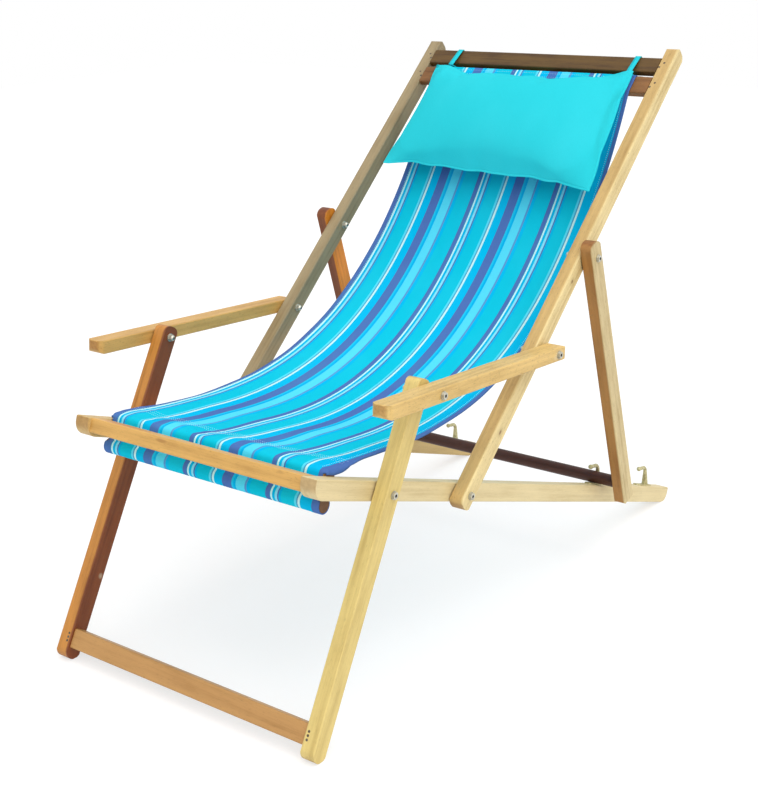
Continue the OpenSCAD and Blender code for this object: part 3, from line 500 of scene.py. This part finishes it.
# rows of points and the same rows in the flat cloth, both in metres
def gridPiece(name, rows, places, material):
    count, width = len(rows), len(rows[0])
    mesh = bpy.data.meshes.new(name)
    corners = [p for row in rows for p in row]
    faces = [(i * width + j, (i + 1) * width + j, (i + 1) * width + j + 1, i * width + j + 1)
             for i in range(count - 1) for j in range(width - 1)]
    mesh.from_pydata(corners, [], faces)
    return finishPiece(name, mesh, [p for row in places for p in row], material)


# short raised threads along a path: pairs of a point and the cloth's normal there, in metres
stitch = {
    "length": 0.0027, "width": 0.00032, "height": 0.00028, "pitch": 0.0039,
    "body": (0.3, 0.7),       # the full part of its length; beyond it tapers to the ends
    "sunk": 0.6,              # how far the ends go under, of the height
}


def sewRow(work, layer, path):
    points = np.array([p for p, n in path])
    normals = np.array([n for p, n in path])
    steps = np.linalg.norm(np.diff(points, axis=0), axis=1)
    reach = np.concatenate(([0.0], np.cumsum(steps)))
    for at in np.arange(stitch["pitch"] / 2, reach[-1] - stitch["pitch"] / 2, stitch["pitch"]):
        start, stop = (np.array([np.interp(at + d, reach, points[:, k]) for k in range(3)])
                       for d in (-stitch["length"] / 2, stitch["length"] / 2))
        normal = np.array([np.interp(at, reach, normals[:, k]) for k in range(3)])
        normal /= np.linalg.norm(normal)
        along = (stop - start) / np.linalg.norm(stop - start)
        side = np.cross(along, normal)
        lift = normal * stitch["height"]
        ring = []
        for t in stitch["body"]:
            centre = start * (1 - t) + stop * t
            ring.append([work.verts.new(centre + c) for c in
                         (side * stitch["width"], lift, -side * stitch["width"], -lift)])
        ends = [work.verts.new(end - lift * stitch["sunk"]) for end in (start, stop)]
        for k in range(4):
            n = (k + 1) % 4
            for corners in ((ring[0][k], ring[0][n], ring[1][n], ring[1][k]),
                            (ends[0], ring[0][n], ring[0][k]), (ends[1], ring[1][k], ring[1][n])):
                made = work.faces.new(corners)
                for loop in made.loops:
                    loop[layer].uv = (at, 0.0)


def sewnPiece(name, paths, material):
    mesh = bpy.data.meshes.new(name)
    work = bmesh.new()
    layer = work.loops.layers.uv.new("cloth")
    for path in paths:
        sewRow(work, layer, path)
    bmesh.ops.recalc_face_normals(work, faces=work.faces)
    work.to_mesh(mesh)
    work.free()
    mesh.materials.append(material)
    return addObject(name, mesh)


sling = {
    "half": 209.0,            # half width, mm
    "thick": 1.15, "double": 1.9,
    "hem": 11.0,              # width of the side hems
    "gap": 1.2,               # from the wood to the middle of the cloth
    "secondRail": (-313.0, 24.0), "railFront": (-8.0, 4.0), "seatEase": 8.0, "barEase": 2.5,
    "frontDowel": (-306.0, -26.05), "frontDowelR": 11.0, "frontOverlap": 22.0,
    "lowerBar": (813.0, 851.0), "slot": 11.0, "barFront": 14.5,
    "rearDowel": (856.5, -10.9), "rearDowelR": 10.0, "rearEnd": 400.0, "slotDrop": 6.0,
    "bendTop": (806.0, 14.0),             # where it follows the back alone, on the back rails
    "rise": 1.5, "lean": 23.0, "seatPull": 0.12, "backPull": 0.67, "sag": 14.0,
    "rows": 180,              # of the free stretch, and of the bends round the wood
    "bends": {"front": 32, "turn": 8, "bar": 7, "crest": 4, "rear": 30},
    "columns": 61, "hemColumns": (11.0, 8.5, 6.5, 4.5, 3.0, 1.5, 0.0),   # hem: mm from the edge
    # folds behind the front rail: mm across and along, place in the noise, share
    "folds": ((62, 120, 3.1, 1.0), (26, 90, 5.7, 0.5)), "ripple": 4.0, "rippleEnd": 0.42,
    "bumps": (60, 260, 9.7, 1.1),         # faint ones all over, in the same terms
    "slack": 1.6, "slackEdge": 0.16,      # bumps of the side edges, and how much of the half width has them
    "dip": 4.5, "dipSpan": (16.0, 50.0, 75.0, 160.0),   # hollow behind the front rails
    "curl": 2.8,              # fall of the side edges
    # the hems tucked down over the second rail's ends, and the sleeve over the front dowel's ends
    "tuckFrom": 203.0, "tuckOut": 5.7, "tuckDrop": 7.5, "tuckBack": 24.0, "tuckFade": 70.0,
    "tuckRise": (17.5, 5.0), "tuckLow": 16.9,           # the edge stays above the seat rails
    "sleeveOut": 5.6, "sleeveEdge": 6.0, "sleeveRise": (0.45, 0.25),
    "seatSeams": (38.0, 46.0, 54.0),      # behind the front edge, mm
    "headSeams": (845.0, 836.0, 827.0),   # along the back rails
}


# the sling from the side, in the rail frame: round the front dowel, over the second rail, free to the
# lower head bar, over it and round the rear dowel
def slingLine():
    s = sling
    hem = s["gap"]
    dowelR, rearR = s["frontDowelR"] + hem, s["rearDowelR"] + hem
    edge = np.array(s["secondRail"])
    turnR, barR = s["seatEase"] + hem, s["barEase"] + hem
    seatTurn = edge + np.array((s["seatEase"], -s["seatEase"]))
    turnEnd = 90 + s["rise"] + chair["slope"]
    start = seatTurn + ray(turnEnd, turnR)
    headTurn = onBack(s["lowerBar"][0] + s["barEase"], s["barFront"] - s["barEase"])
    stop = headTurn + ray(chair["back"] + 90 + s["lean"], barR)
    span = np.linalg.norm(stop - start)
    pull = [start, start + ray(chair["slope"] + s["rise"], s["seatPull"] * span),
            stop - ray(chair["back"] + s["lean"], s["backPull"] * span), stop]
    steps = [i / s["rows"] for i in range(s["rows"] + 1)]
    free = [(1 - t) ** 3 * pull[0] + 3 * t * (1 - t) ** 2 * pull[1]
            + 3 * t * t * (1 - t) * pull[2] + t ** 3 * pull[3] for t in steps]
    leave = math.degrees(math.acos((edge[0] - hem - s["frontDowel"][0]) / dowelR))
    bends = s["bends"]
    front = arc(s["frontDowel"], dowelR, leave - s["frontOverlap"], leave - 360, bends["front"])
    rise = [(edge[0] - hem, height) for height in s["railFront"]]
    turn = arc(seatTurn, turnR, 180, turnEnd, bends["turn"])[:-1]
    top = s["barFront"] + hem
    low, high = s["lowerBar"]
    barRows = np.linspace(low + s["barEase"] + 1, high - s["barEase"] - 1, bends["bar"])
    over = [onBack(a, top) for a in barRows]
    crestTurn = (high - s["barEase"], s["barFront"] - s["barEase"])
    crest = [onBack(*p) for p in arc(crestTurn, barR, 60, 0, bends["crest"])]
    drop = [onBack(high + hem, s["barFront"] - s["slotDrop"])]
    enter = 180 - math.degrees(math.acos((s["slot"] / 2 - hem) / rearR))
    wrap = [onBack(*p) for p in arc(s["rearDowel"], rearR, enter, s["rearEnd"], bends["rear"])]
    line = [np.array(p) for p in front + rise + turn + free + over + crest + drop + wrap]
    first = len(front) + len(rise) + len(turn)
    shares = [0.0] * first + steps
    shares += [0.0] * (len(line) - len(shares))
    return line, shares, first, len(front)


# 0 to 1 where the side hems are tucked down over the second rail's ends
def tuckShare(point, x):
    s = sling
    low, over = s["tuckRise"]
    share = smooth((point[1] - low) / over)
    share *= 1 - smooth((point[0] - s["secondRail"][0] - s["tuckBack"]) / s["tuckFade"])
    return share * max(0.0, abs(x) - s["tuckFrom"]) / (s["half"] - s["tuckFrom"])


# the tucked hems and the sleeve on the front dowel reach past the cloth's own width
def spreadOut(point, x, tuck, onDowel):
    s = sling
    wide = s["tuckOut"] * min(1.0, tuck * 2.0)
    if onDowel:
        rise = (point[1] - s["frontDowel"][1]) / s["frontDowelR"]
        low, over = s["sleeveRise"]
        nearEdge = max(0.0, (abs(x) - s["half"] + s["sleeveEdge"]) / s["sleeveEdge"])
        wide += s["sleeveOut"] * nearEdge * (1 - smooth((rise - low) / over))
    return x + math.copysign(wide, x)


# how far the cloth stands off its line, mm, at x across and a length along it;
# behind is the length from the front edge, share is 0 to 1 along the free stretch
def clothRelief(x, along, behind, share):
    s = sling
    half, hem = s["half"], s["hem"]
    free = math.sin(math.pi * share) ** 2
    near = max(0.0, 1 - share / s["rippleEnd"]) ** 1.3 * min(1.0, share / 0.04)
    fold = sum(part * noise.noise(Vector((x / wide, along / long, at)))
               for wide, long, at, part in s["folds"])
    relief = s["ripple"] * near * fold
    wide, long, at, part = s["bumps"]
    relief += part * free * noise.noise(Vector((x / wide, along / long, at)))
    dipIn, dipLow, dipRise, dipOut = s["dipSpan"]
    hollow = smooth((behind - dipIn) / (dipLow - dipIn))
    hollow *= 1 - smooth((behind - dipRise) / (dipOut - dipRise))
    uneven = 1 + 0.8 * noise.noise(Vector((x / 75, 4.4, 0.0)))
    relief -= s["dip"] * hollow * (1 - (x / half) ** 4) * uneven
    curl = max(0.0, (abs(x) - half + hem) / hem) ** 1.5 * min(1.0, share / 0.03)
    relief -= s["curl"] * curl * (1 - smooth((share - 0.5) / 0.3))
    slack = max(0.0, (abs(x) - (1 - s["slackEdge"]) * half) / (s["slackEdge"] * half))
    relief += s["slack"] * free * slack * noise.noise(Vector((math.copysign(7, x), along / 85, 1.3)))
    return relief - s["sag"] * free * (1 - (x / half) ** 2)


# a point of the upper side of the cloth, and the normal there
def onCloth(grid, across, lengths, x, length, raised):
    count, width = len(lengths), len(across)
    j = np.interp(x, across, range(width))
    i = np.interp(length, lengths, range(count))
    i0, j0 = min(int(i), count - 2), min(int(j), width - 2)
    di, dj = i - i0, j - j0
    p = ((grid[i0, j0] * (1 - dj) + grid[i0, j0 + 1] * dj) * (1 - di)
         + (grid[i0 + 1, j0] * (1 - dj) + grid[i0 + 1, j0 + 1] * dj) * di)
    normal = np.cross(grid[i0, j0 + 1] - grid[i0, j0], grid[i0 + 1, j0] - grid[i0, j0])
    normal /= np.linalg.norm(normal)
    return p + normal * raised / 1000, normal


# the hems at the sides and at both ends are double
def thickenSling(piece, across, doubledRows):
    s = sling
    hems = piece.vertex_groups.new(name="hems")
    for k, doubled in enumerate(doubledRows):
        for j, x in enumerate(across):
            inHem = abs(x) > s["half"] - s["hem"] - 0.5
            hems.add([k * len(across) + j], 1.0 if inHem or doubled else 0.0, "REPLACE")
    skin = piece.modifiers.new("thickness", "SOLIDIFY")
    skin.thickness = s["double"] / 1000
    skin.offset = 0
    skin.vertex_group = "hems"
    skin.thickness_vertex_group = s["thick"] / s["double"]


# seams across both ends, and along each side
def sewSling(grid, across, lengths, edgeLength, barLength, lastLength):
    s = sling
    half = s["half"]
    seams = [edgeLength + a for a in s["seatSeams"]]
    seams += [barLength + (a - s["lowerBar"][0] - s["barEase"] - 1) for a in s["headSeams"]]
    paths = [[(x, length) for x in np.linspace(-half + 3, half - 3, 120)] for length in seams]
    for side in (1, -1):
        paths.append([(side * (half - s["hem"] + 1.5), length)
                      for length in np.linspace(edgeLength + 2, lastLength, 260)])
    spots = [[onCloth(grid, across, lengths, x, length, s["double"] / 2) for x, length in path]
             for path in paths]
    return sewnPiece("sling_stitches", spots, threadCloth)


def makeSling():
    s = sling
    line, shares, first, afterDowel = slingLine()
    last = first + s["rows"]
    half, hem = s["half"], s["hem"]
    inner = np.linspace(-(half - hem - 1), half - hem - 1, s["columns"])
    edges = half - np.array(s["hemColumns"])
    across = np.concatenate((-edges[::-1], inner, edges))
    count = len(line)
    lengths = np.zeros(count)
    for i in range(1, count):
        lengths[i] = lengths[i - 1] + np.linalg.norm(line[i] - line[i - 1])
    edgeLength = lengths[first]
    rows, places = [], []
    for i, point in enumerate(line):
        ahead = line[min(i + 1, count - 1)] - line[max(i - 1, 0)]
        normal = np.array((-ahead[1], ahead[0])) / np.linalg.norm(ahead)
        row = []
        for x in across:
            tuck = tuckShare(point, x)
            spot = point + normal * clothRelief(x, lengths[i], lengths[i] - edgeLength, shares[i])
            spot[1] -= s["tuckDrop"] * smooth((tuck - 0.5) / 0.5)
            if tuck > 0:
                spot[1] = max(spot[1], s["tuckLow"])
            y, z = seatPlane(spot)
            row.append((spreadOut(point, x, tuck, i < afterDowel) / 1000, y, z))
        rows.append(row)
        places.append([(x / 1000, lengths[i] / 1000) for x in across])
    piece = gridPiece("sling_cloth", rows, places, slingCloth)
    foldEnd = edgeLength + s["seatSeams"][-1] + 4
    barStart = lengths[last + 1] + (s["headSeams"][-1] - 4 - s["lowerBar"][0])
    thickenSling(piece, across, [afterDowel <= k and lengths[k] < foldEnd or lengths[k] > barStart
                                 for k in range(count)])
    threads = sewSling(np.array(rows), across, lengths, edgeLength, lengths[last + 1], lengths[last])
    bend = [Vector((0, *seatPlane(p))) for p in (line[first + 2], onBack(*s["bendTop"]))]
    return piece, threads, lengths[-1] / 1000, bend


slingPiece, slingThreads, slingLength, slingBend = makeSling()
for piece in (slingPiece, slingThreads):
    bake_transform(piece)
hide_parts("sling")
print("sling hung, length", round(slingLength, 3))

pillow = {
    "width": 436.0, "topWidth": 410.0, "height": 238.0, "front": 46.0, "rear": 30.0, "seam": 1.6,
    "aside": -4.0, "wider": 3.5,      # it hangs a little to the right of the sitter
    "draw": {"right": 1.0, "left": -7.0, "top": 2.0, "low": -9.0},   # what the filling will pull in, mm
    "crown": (2.1, 0.92), "swell": 0.94,
    "top": (852.0, 23.0),     # its top edge, along and in front of the back rails
    "lean": 4.5, "rows": 52, "columns": 92, "closer": 0.93, "flange": 4.0,
    "rearFlat": 0.14, "rearFull": 0.6,   # its rear is flat on the bars, then full: shares of the height
    "upFrom": 0.2, "lowFrom": 0.1,       # what hangs above and below the middle
    "topSag": 9.0,            # of the top edge between the loops
    "droop": 18.0,            # of the lower corner on the sitter's left
    "notches": ((-125.0, 6.0), (55.0, 6.0)), "notchWidth": 22.0,     # dips of the top edge: place and depth
    "notchFold": (0.9, 14.0, 11.0),      # each runs on as a fold: depth, drift and width
    "loopFolds": (2.6, 70.0, 9.0),       # depth, reach and width of the folds beside the loops
    "wave": 4.5,              # of the upper and lower edge
    "rimSeam": 0.6, "flangeSeam": 0.8,   # shares of the seam's thickness
}

filling = {
    "frames": 20, "pressure": 4.0, "cap": 9.0,   # no point moves further than the cap, mm
    "slack": 0.03, "quality": 6, "mass": 0.2, "tension": 12, "shear": 4, "bending": 0.15,
    "cornerHold": 42.0,       # how far from a corner the seam is still held, mm
    "even": 60, "evenShare": 0.6,        # turns of averaging, and the neighbours' share
}


# rows and columns lie closer together near the seams
def seamward(k, count):
    bend = math.pi / 2 * pillow["closer"]
    return math.sin(bend * (2 * k / count - 1)) / math.sin(bend)


def crown(u):
    power, top = pillow["crown"]
    return (1 - min(1.0, abs(u)) ** power) ** top


# the bag before it is filled: x across, y up, z to the front, mm
def pillowPoint(u, v, face):
    p = pillow
    halfWidth = (p["width"] * (1 - v) + p["topWidth"] * (1 + v)) / 4 - p["flange"] + p["wider"]
    x = p["aside"] + u * (halfWidth - p["draw"]["left" if u > 0 else "right"] * (1 - v * v))
    y = v * (p["height"] / 2 - p["flange"] - p["draw"]["top" if v > 0 else "low"] * (1 - u * u))
    deep = p["front"] if face > 0 else p["rear"]
    return np.array((x, y, face * (p["seam"] / 2 + p["swell"] * deep * (crown(u) * crown(v)))))


def fillBag(mesh, still):
    f = filling
    bag = addObject("filling", mesh)
    held = bag.vertex_groups.new(name="held")
    for number, strength in still.items():
        held.add([number], strength, "REPLACE")
    cloth = bag.modifiers.new("cloth", "CLOTH")
    settings = cloth.settings
    settings.quality, settings.mass = f["quality"], f["mass"]
    settings.tension_stiffness = settings.compression_stiffness = f["tension"]
    settings.shear_stiffness, settings.bending_stiffness = f["shear"], f["bending"]
    settings.shrink_min = -f["slack"]
    settings.use_pressure = True
    settings.uniform_pressure_force = f["pressure"]
    settings.effector_weights.gravity = 0
    settings.vertex_group_mass = "held"
    cloth.point_cache.frame_start, cloth.point_cache.frame_end = 1, f["frames"]
    scene = bpy.context.scene
    for number in range(1, f["frames"] + 1):
        scene.frame_set(number)
    filled = bag.evaluated_get(bpy.context.evaluated_depsgraph_get()).to_mesh()
    places = np.array([v.co for v in filled.vertices])
    scene.frame_set(1)
    bpy.data.objects.remove(bag)
    return places


# what hangs between the loops sags, the lower corners droop and the rear lies flat on the bars
def settle(point):
    p = pillow
    x, y, z = point
    v = max(-1.0, min(1.0, 2 * y / p["height"]))
    u = max(-1.0, min(1.0, 2 * (x - p["aside"]) / p["width"]))
    up = smooth((v - p["upFrom"]) / (1 - p["upFrom"]))
    low = smooth((-v - p["lowFrom"]) / (1 - p["lowFrom"]))
    y -= p["topSag"] * up * (1 - min(1.0, abs(x) / loops["at"][0]) ** 2)
    y += p["wave"] * (up ** 3 + low ** 3) * noise.noise(Vector((x / 40, 2.0 * up, 6.6)))
    y -= p["droop"] * low * max(0.0, u) ** 1.3
    share, drift, width = p["notchFold"]
    for at, deep in p["notches"]:
        y -= deep * up * math.exp(-((x - at) / p["notchWidth"]) ** 2)
        fold = smooth((v - 0.4) / 0.5) * math.exp(-((x - at + drift * (1 - v)) / width) ** 2)
        z -= share * deep * fold * (z > 0)
    # soft folds run down from the loops
    deep, reach, width = p["loopFolds"]
    fromLoop = min(abs(x - at) for at in loops["at"])
    z += deep * up * max(0.0, 1 - fromLoop / reach) * math.cos(fromLoop / width) * (z > 0)
    if z < 0:
        fill = smooth(((1 - v) / 2 - p["rearFlat"]) / (p["rearFull"] - p["rearFlat"]))
        z = -p["seam"] / 2 + (z + p["seam"] / 2) * fill
    return np.array((x, y, z))


# from the pillow's own plane, mm, to the chair
def pillowPlace(point):
    x, along, front = point
    angle = chair["back"] + pillow["lean"]
    spot = onBack(*pillow["top"]) + ray(angle, along - pillow["height"] / 2) + ray(angle + 90, front)
    y, z = seatPlane(spot)
    return (x / 1000, y, z)


# the filling pushes the bag out; its corners are held, and the seams beside them less and less
def blowUp(places, closed, rim, index):
    f = filling
    rows, columns = pillow["rows"], pillow["columns"]
    mesh = bpy.data.meshes.new("filling")
    mesh.from_pydata([q / 1000 for q in places], [], closed)
    still = {}
    for i, j in rim:
        corner = places[index[1, rows if i > rows / 2 else 0, columns if j > columns / 2 else 0]]
        away = np.linalg.norm(places[index[1, i, j]] - corner) / f["cornerHold"]
        for face in (1, -1):
            still[index[face, i, j]] = max(0.0, 1 - away) ** 1.5
    moves = (fillBag(mesh, still) * 1000 - np.array(places)).reshape(2, rows + 1, columns + 1, 3)
    for turn in range(f["even"]):   # evens out the small creases
        wide = np.pad(moves, ((0, 0), (1, 1), (1, 1), (0, 0)), mode="edge")
        around = (wide[:, 2:, 1:-1] + wide[:, :-2, 1:-1] + wide[:, 1:-1, 2:] + wide[:, 1:-1, :-2]) / 4
        moves = (1 - f["evenShare"]) * moves + f["evenShare"] * around
    moves[1, :, :, 2] = np.maximum(moves[1, :, :, 2], 0.0)   # the rear lies on the sling
    largest = 0.0
    for k, move in enumerate(moves.reshape(-1, 3)):
        far = np.linalg.norm(move)
        largest = max(largest, min(far, f["cap"]))
        places[k] = places[k] + move * min(1.0, f["cap"] / max(far, 1e-6))
    print("pillow filled, largest move", round(float(largest), 1), "mm")


# a flat seam allowance all round the bag
def addFlange(places, flat, faces, rim, edge, index):
    p = pillow
    rows, columns = p["rows"], p["columns"]
    outer = {}
    for k, (i, j) in enumerate(rim):
        a, b = rim[k - 1], rim[(k + 1) % len(rim)]
        way = places[index[1, *b]] - places[index[1, *a]]
        out = np.array((way[1], -way[0], 0.0))
        out /= np.linalg.norm(out)
        if i in (0, rows) and j in (0, columns):
            out *= 2.0   # a corner reaches further
        for face in (1, -1):
            middle = (places[index[1, i, j]] + places[index[-1, i, j]]) / 2
            outer[face, i, j] = len(places)
            places.append(middle + out * p["flange"]
                          + np.array((0, 0, face * p["seam"] / 2 * p["flangeSeam"])))
            flat.append(flat[index[1, i, j]])
    for i, j in rim:
        middle = (places[index[1, i, j]] + places[index[-1, i, j]]) / 2
        for face in (1, -1):
            places[index[face, i, j]] = middle + np.array((0, 0, face * p["seam"] / 2 * p["rimSeam"]))
    for a, b in edge:
        for face in (1, -1):
            strip = [index[face, *a], outer[face, *a], outer[face, *b], index[face, *b]]
            faces.append(strip if face > 0 else strip[::-1])
        faces.append([outer[1, *a], outer[-1, *a], outer[-1, *b], outer[1, *b]])


def makePillow():
    p = pillow
    rows, columns = p["rows"], p["columns"]
    places, flat, index, faces = [], [], {}, []
    for face in (1, -1):
        for i in range(rows + 1):
            v = seamward(i, rows)
            for j in range(columns + 1):
                u = seamward(j, columns)
                index[face, i, j] = len(places)
                places.append(pillowPoint(u, v, face))
                flat.append((u * p["width"] / 2000, v * p["height"] / 2000))
        for i in range(rows):
            for j in range(columns):
                corners = [index[face, i, j], index[face, i, j + 1], index[face, i + 1, j + 1],
                           index[face, i + 1, j]]
                faces.append(corners if face > 0 else corners[::-1])
    rim = [(0, j) for j in range(columns)] + [(i, columns) for i in range(rows)]
    rim += [(rows, j) for j in range(columns, 0, -1)] + [(i, 0) for i in range(rows, 0, -1)]
    edge = list(zip(rim, rim[1:] + rim[:1]))
    sides = [[index[-1, *a], index[-1, *b], index[1, *b], index[1, *a]] for a, b in edge]
    blowUp(places, faces + sides, rim, index)
    addFlange(places, flat, faces, rim, edge, index)
    mesh = bpy.data.meshes.new("pillow_bag")
    mesh.from_pydata([pillowPlace(settle(q)) for q in places], [], faces)
    piece = finishPiece("pillow_bag", mesh, flat, pillowCloth)
    faceOutwards(mesh)
    finer = piece.modifiers.new("smoother", "SUBSURF")
    finer.levels = finer.render_levels = 1
    return piece


loops = {
    "at": (195.0, -181.5), "width": 10.0, "thick": 1.3, "gap": 1.25,
    "bar": (862.0, 896.0), "front": 14.5, "rear": 1.5,   # the upper head bar, along and in front of the rails
    "round": 3.0,             # at its edges
    "sewnIn": 1.7,            # into the pillow's top edge
}

pillowPiece = makePillow()
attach(pillowPiece, "head_pillow")
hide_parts("pillow")
print("pillow sewn")


# a closed path with its corners eased; two cuts never meet on a short side
def roundedPath(corners, radius, steps=5):
    path = []
    for k, corner in enumerate(corners):
        before, after = corners[k - 1] - corner, corners[(k + 1) % len(corners)] - corner
        cut = min(radius, np.linalg.norm(before) / 2.2, np.linalg.norm(after) / 2.2)
        a = corner + before / np.linalg.norm(before) * cut
        b = corner + after / np.linalg.norm(after) * cut
        for i in range(steps + 1):
            t = i / steps
            path.append((1 - t) ** 2 * a + 2 * t * (1 - t) * corner + t * t * b)
    return path


def makeLoop(at):
    s = loops
    g = s["gap"]
    end = np.array(pillow["top"]) - s["sewnIn"] * ray(pillow["lean"])
    low, high = s["bar"]
    corners = [np.array(c) for c in ((low - g, s["rear"] - g), (high + g, s["rear"] - g),
                                     (high + g, s["front"] + g), tuple(end))]
    path = roundedPath(corners, s["round"])
    rows, places, length = [], [], 0.0
    for k in range(len(path) + 1):
        point, nextPoint, last = path[k % len(path)], path[(k + 1) % len(path)], path[k - 1]
        ahead = nextPoint - last
        normal = np.array((-ahead[1], ahead[0])) / np.linalg.norm(ahead)
        row, flat = [], []
        for off, x in ((-0.5, -0.5), (-0.5, 0.5), (0.5, 0.5), (0.5, -0.5), (-0.5, -0.5)):
            place = point + normal * off * s["thick"]
            y, z = seatPlane(onBack(*place))
            row.append(((at + x * s["width"]) / 1000, y, z))
            flat.append((x * s["width"] / 1000 + off * 0.002, length))
        rows.append(row)
        places.append(flat)
        length += np.linalg.norm(nextPoint - point) / 1000
    piece = gridPiece("pillow_loop_" + ("left" if at > 0 else "right"), rows, places, pillowCloth)
    faceOutwards(piece.data, mergeDistance=1e-6)
    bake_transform(piece)
    return piece, length


for at in loops["at"]:
    loopPiece, loopLength = makeLoop(at)
    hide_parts("pillow_loops")
print("loops tied, length", round(loopLength, 3))

stageLook = {
    "floorSize": 14.0, "floorDrop": 0.0004, "worldLight": 0.62,
    "floorTone": 0.86,        # as the chair's underside sees it
    "floorGlow": 0.62, "floorShade": 0.42,   # as the camera sees it: white, with the chair's shadow
    "lamps": [   # where each soft sun shines from, its strength and its spread in degrees
        ((2.6, -1.9, 1.9), 0.85, 40),
        ((-1.6, -2.6, 2.6), 0.3, 60),
        ((0.3, 0.1, 1.0), 1.5, 60),
    ],
}


# 1 where the camera sees a thing, directly or in the metal
def seenOrMirrored(tree):
    path = addNode(tree, "LightPath").outputs
    return calculate(tree, "MAXIMUM", path["Is Camera Ray"], path["Is Glossy Ray"])


def makeStage():
    look = stageLook
    half = look["floorSize"] / 2
    mesh = bpy.data.meshes.new("floor")
    corners = [(-half, -half, 0), (half, -half, 0), (half, half, 0), (-half, half, 0)]
    mesh.from_pydata(corners, [], [(0, 1, 2, 3)])
    floor = addObject("floor", mesh)
    floor.location.z = -look["floorDrop"]
    grey = [(tone, tone, tone, 1) for tone in (look["floorTone"], look["floorShade"])]
    material, tree, shader = newMaterial("floor", Roughness=0.9, Specular_IOR_Level=0.0, Base_Color=grey[0])
    glow = addNode(tree, "Emission", {"Color": (1, 1, 1, 1), "Strength": look["floorGlow"]})
    shade = addNode(tree, "BsdfDiffuse", {"Color": grey[1]})
    both = addNode(tree, "AddShader", {0: glow.outputs[0], 1: shade.outputs[0]})
    pick = addNode(tree, "MixShader", {0: seenOrMirrored(tree), 1: shader.outputs[0], 2: both.outputs[0]})
    tree.links.new(pick.outputs[0], tree.nodes["Material Output"].inputs["Surface"])
    mesh.materials.append(material)
    world = bpy.data.worlds.new("studio")
    bpy.context.scene.world = world
    world.use_nodes = True
    tree = world.node_tree
    plain = tree.nodes["Background"]
    plain.inputs["Color"].default_value = (1, 1, 1, 1)
    plain.inputs["Strength"].default_value = look["worldLight"]
    white = addNode(tree, "Background", {"Color": (1, 1, 1, 1), "Strength": 1.0})
    pick = addNode(tree, "MixShader", {0: seenOrMirrored(tree), 1: plain.outputs[0], 2: white.outputs[0]})
    tree.links.new(pick.outputs[0], tree.nodes["World Output"].inputs["Surface"])
    for k, (place, strength, spread) in enumerate(look["lamps"]):
        data = bpy.data.lights.new("lamp" + str(k), "SUN")
        data.energy, data.angle = strength, math.radians(spread)
        addObject(data.name, data).rotation_euler = Vector(place).to_track_quat("Z", "Y").to_euler()


makeStage()
bpy.context.scene.view_settings.view_transform = "Standard"
print("stage lit")
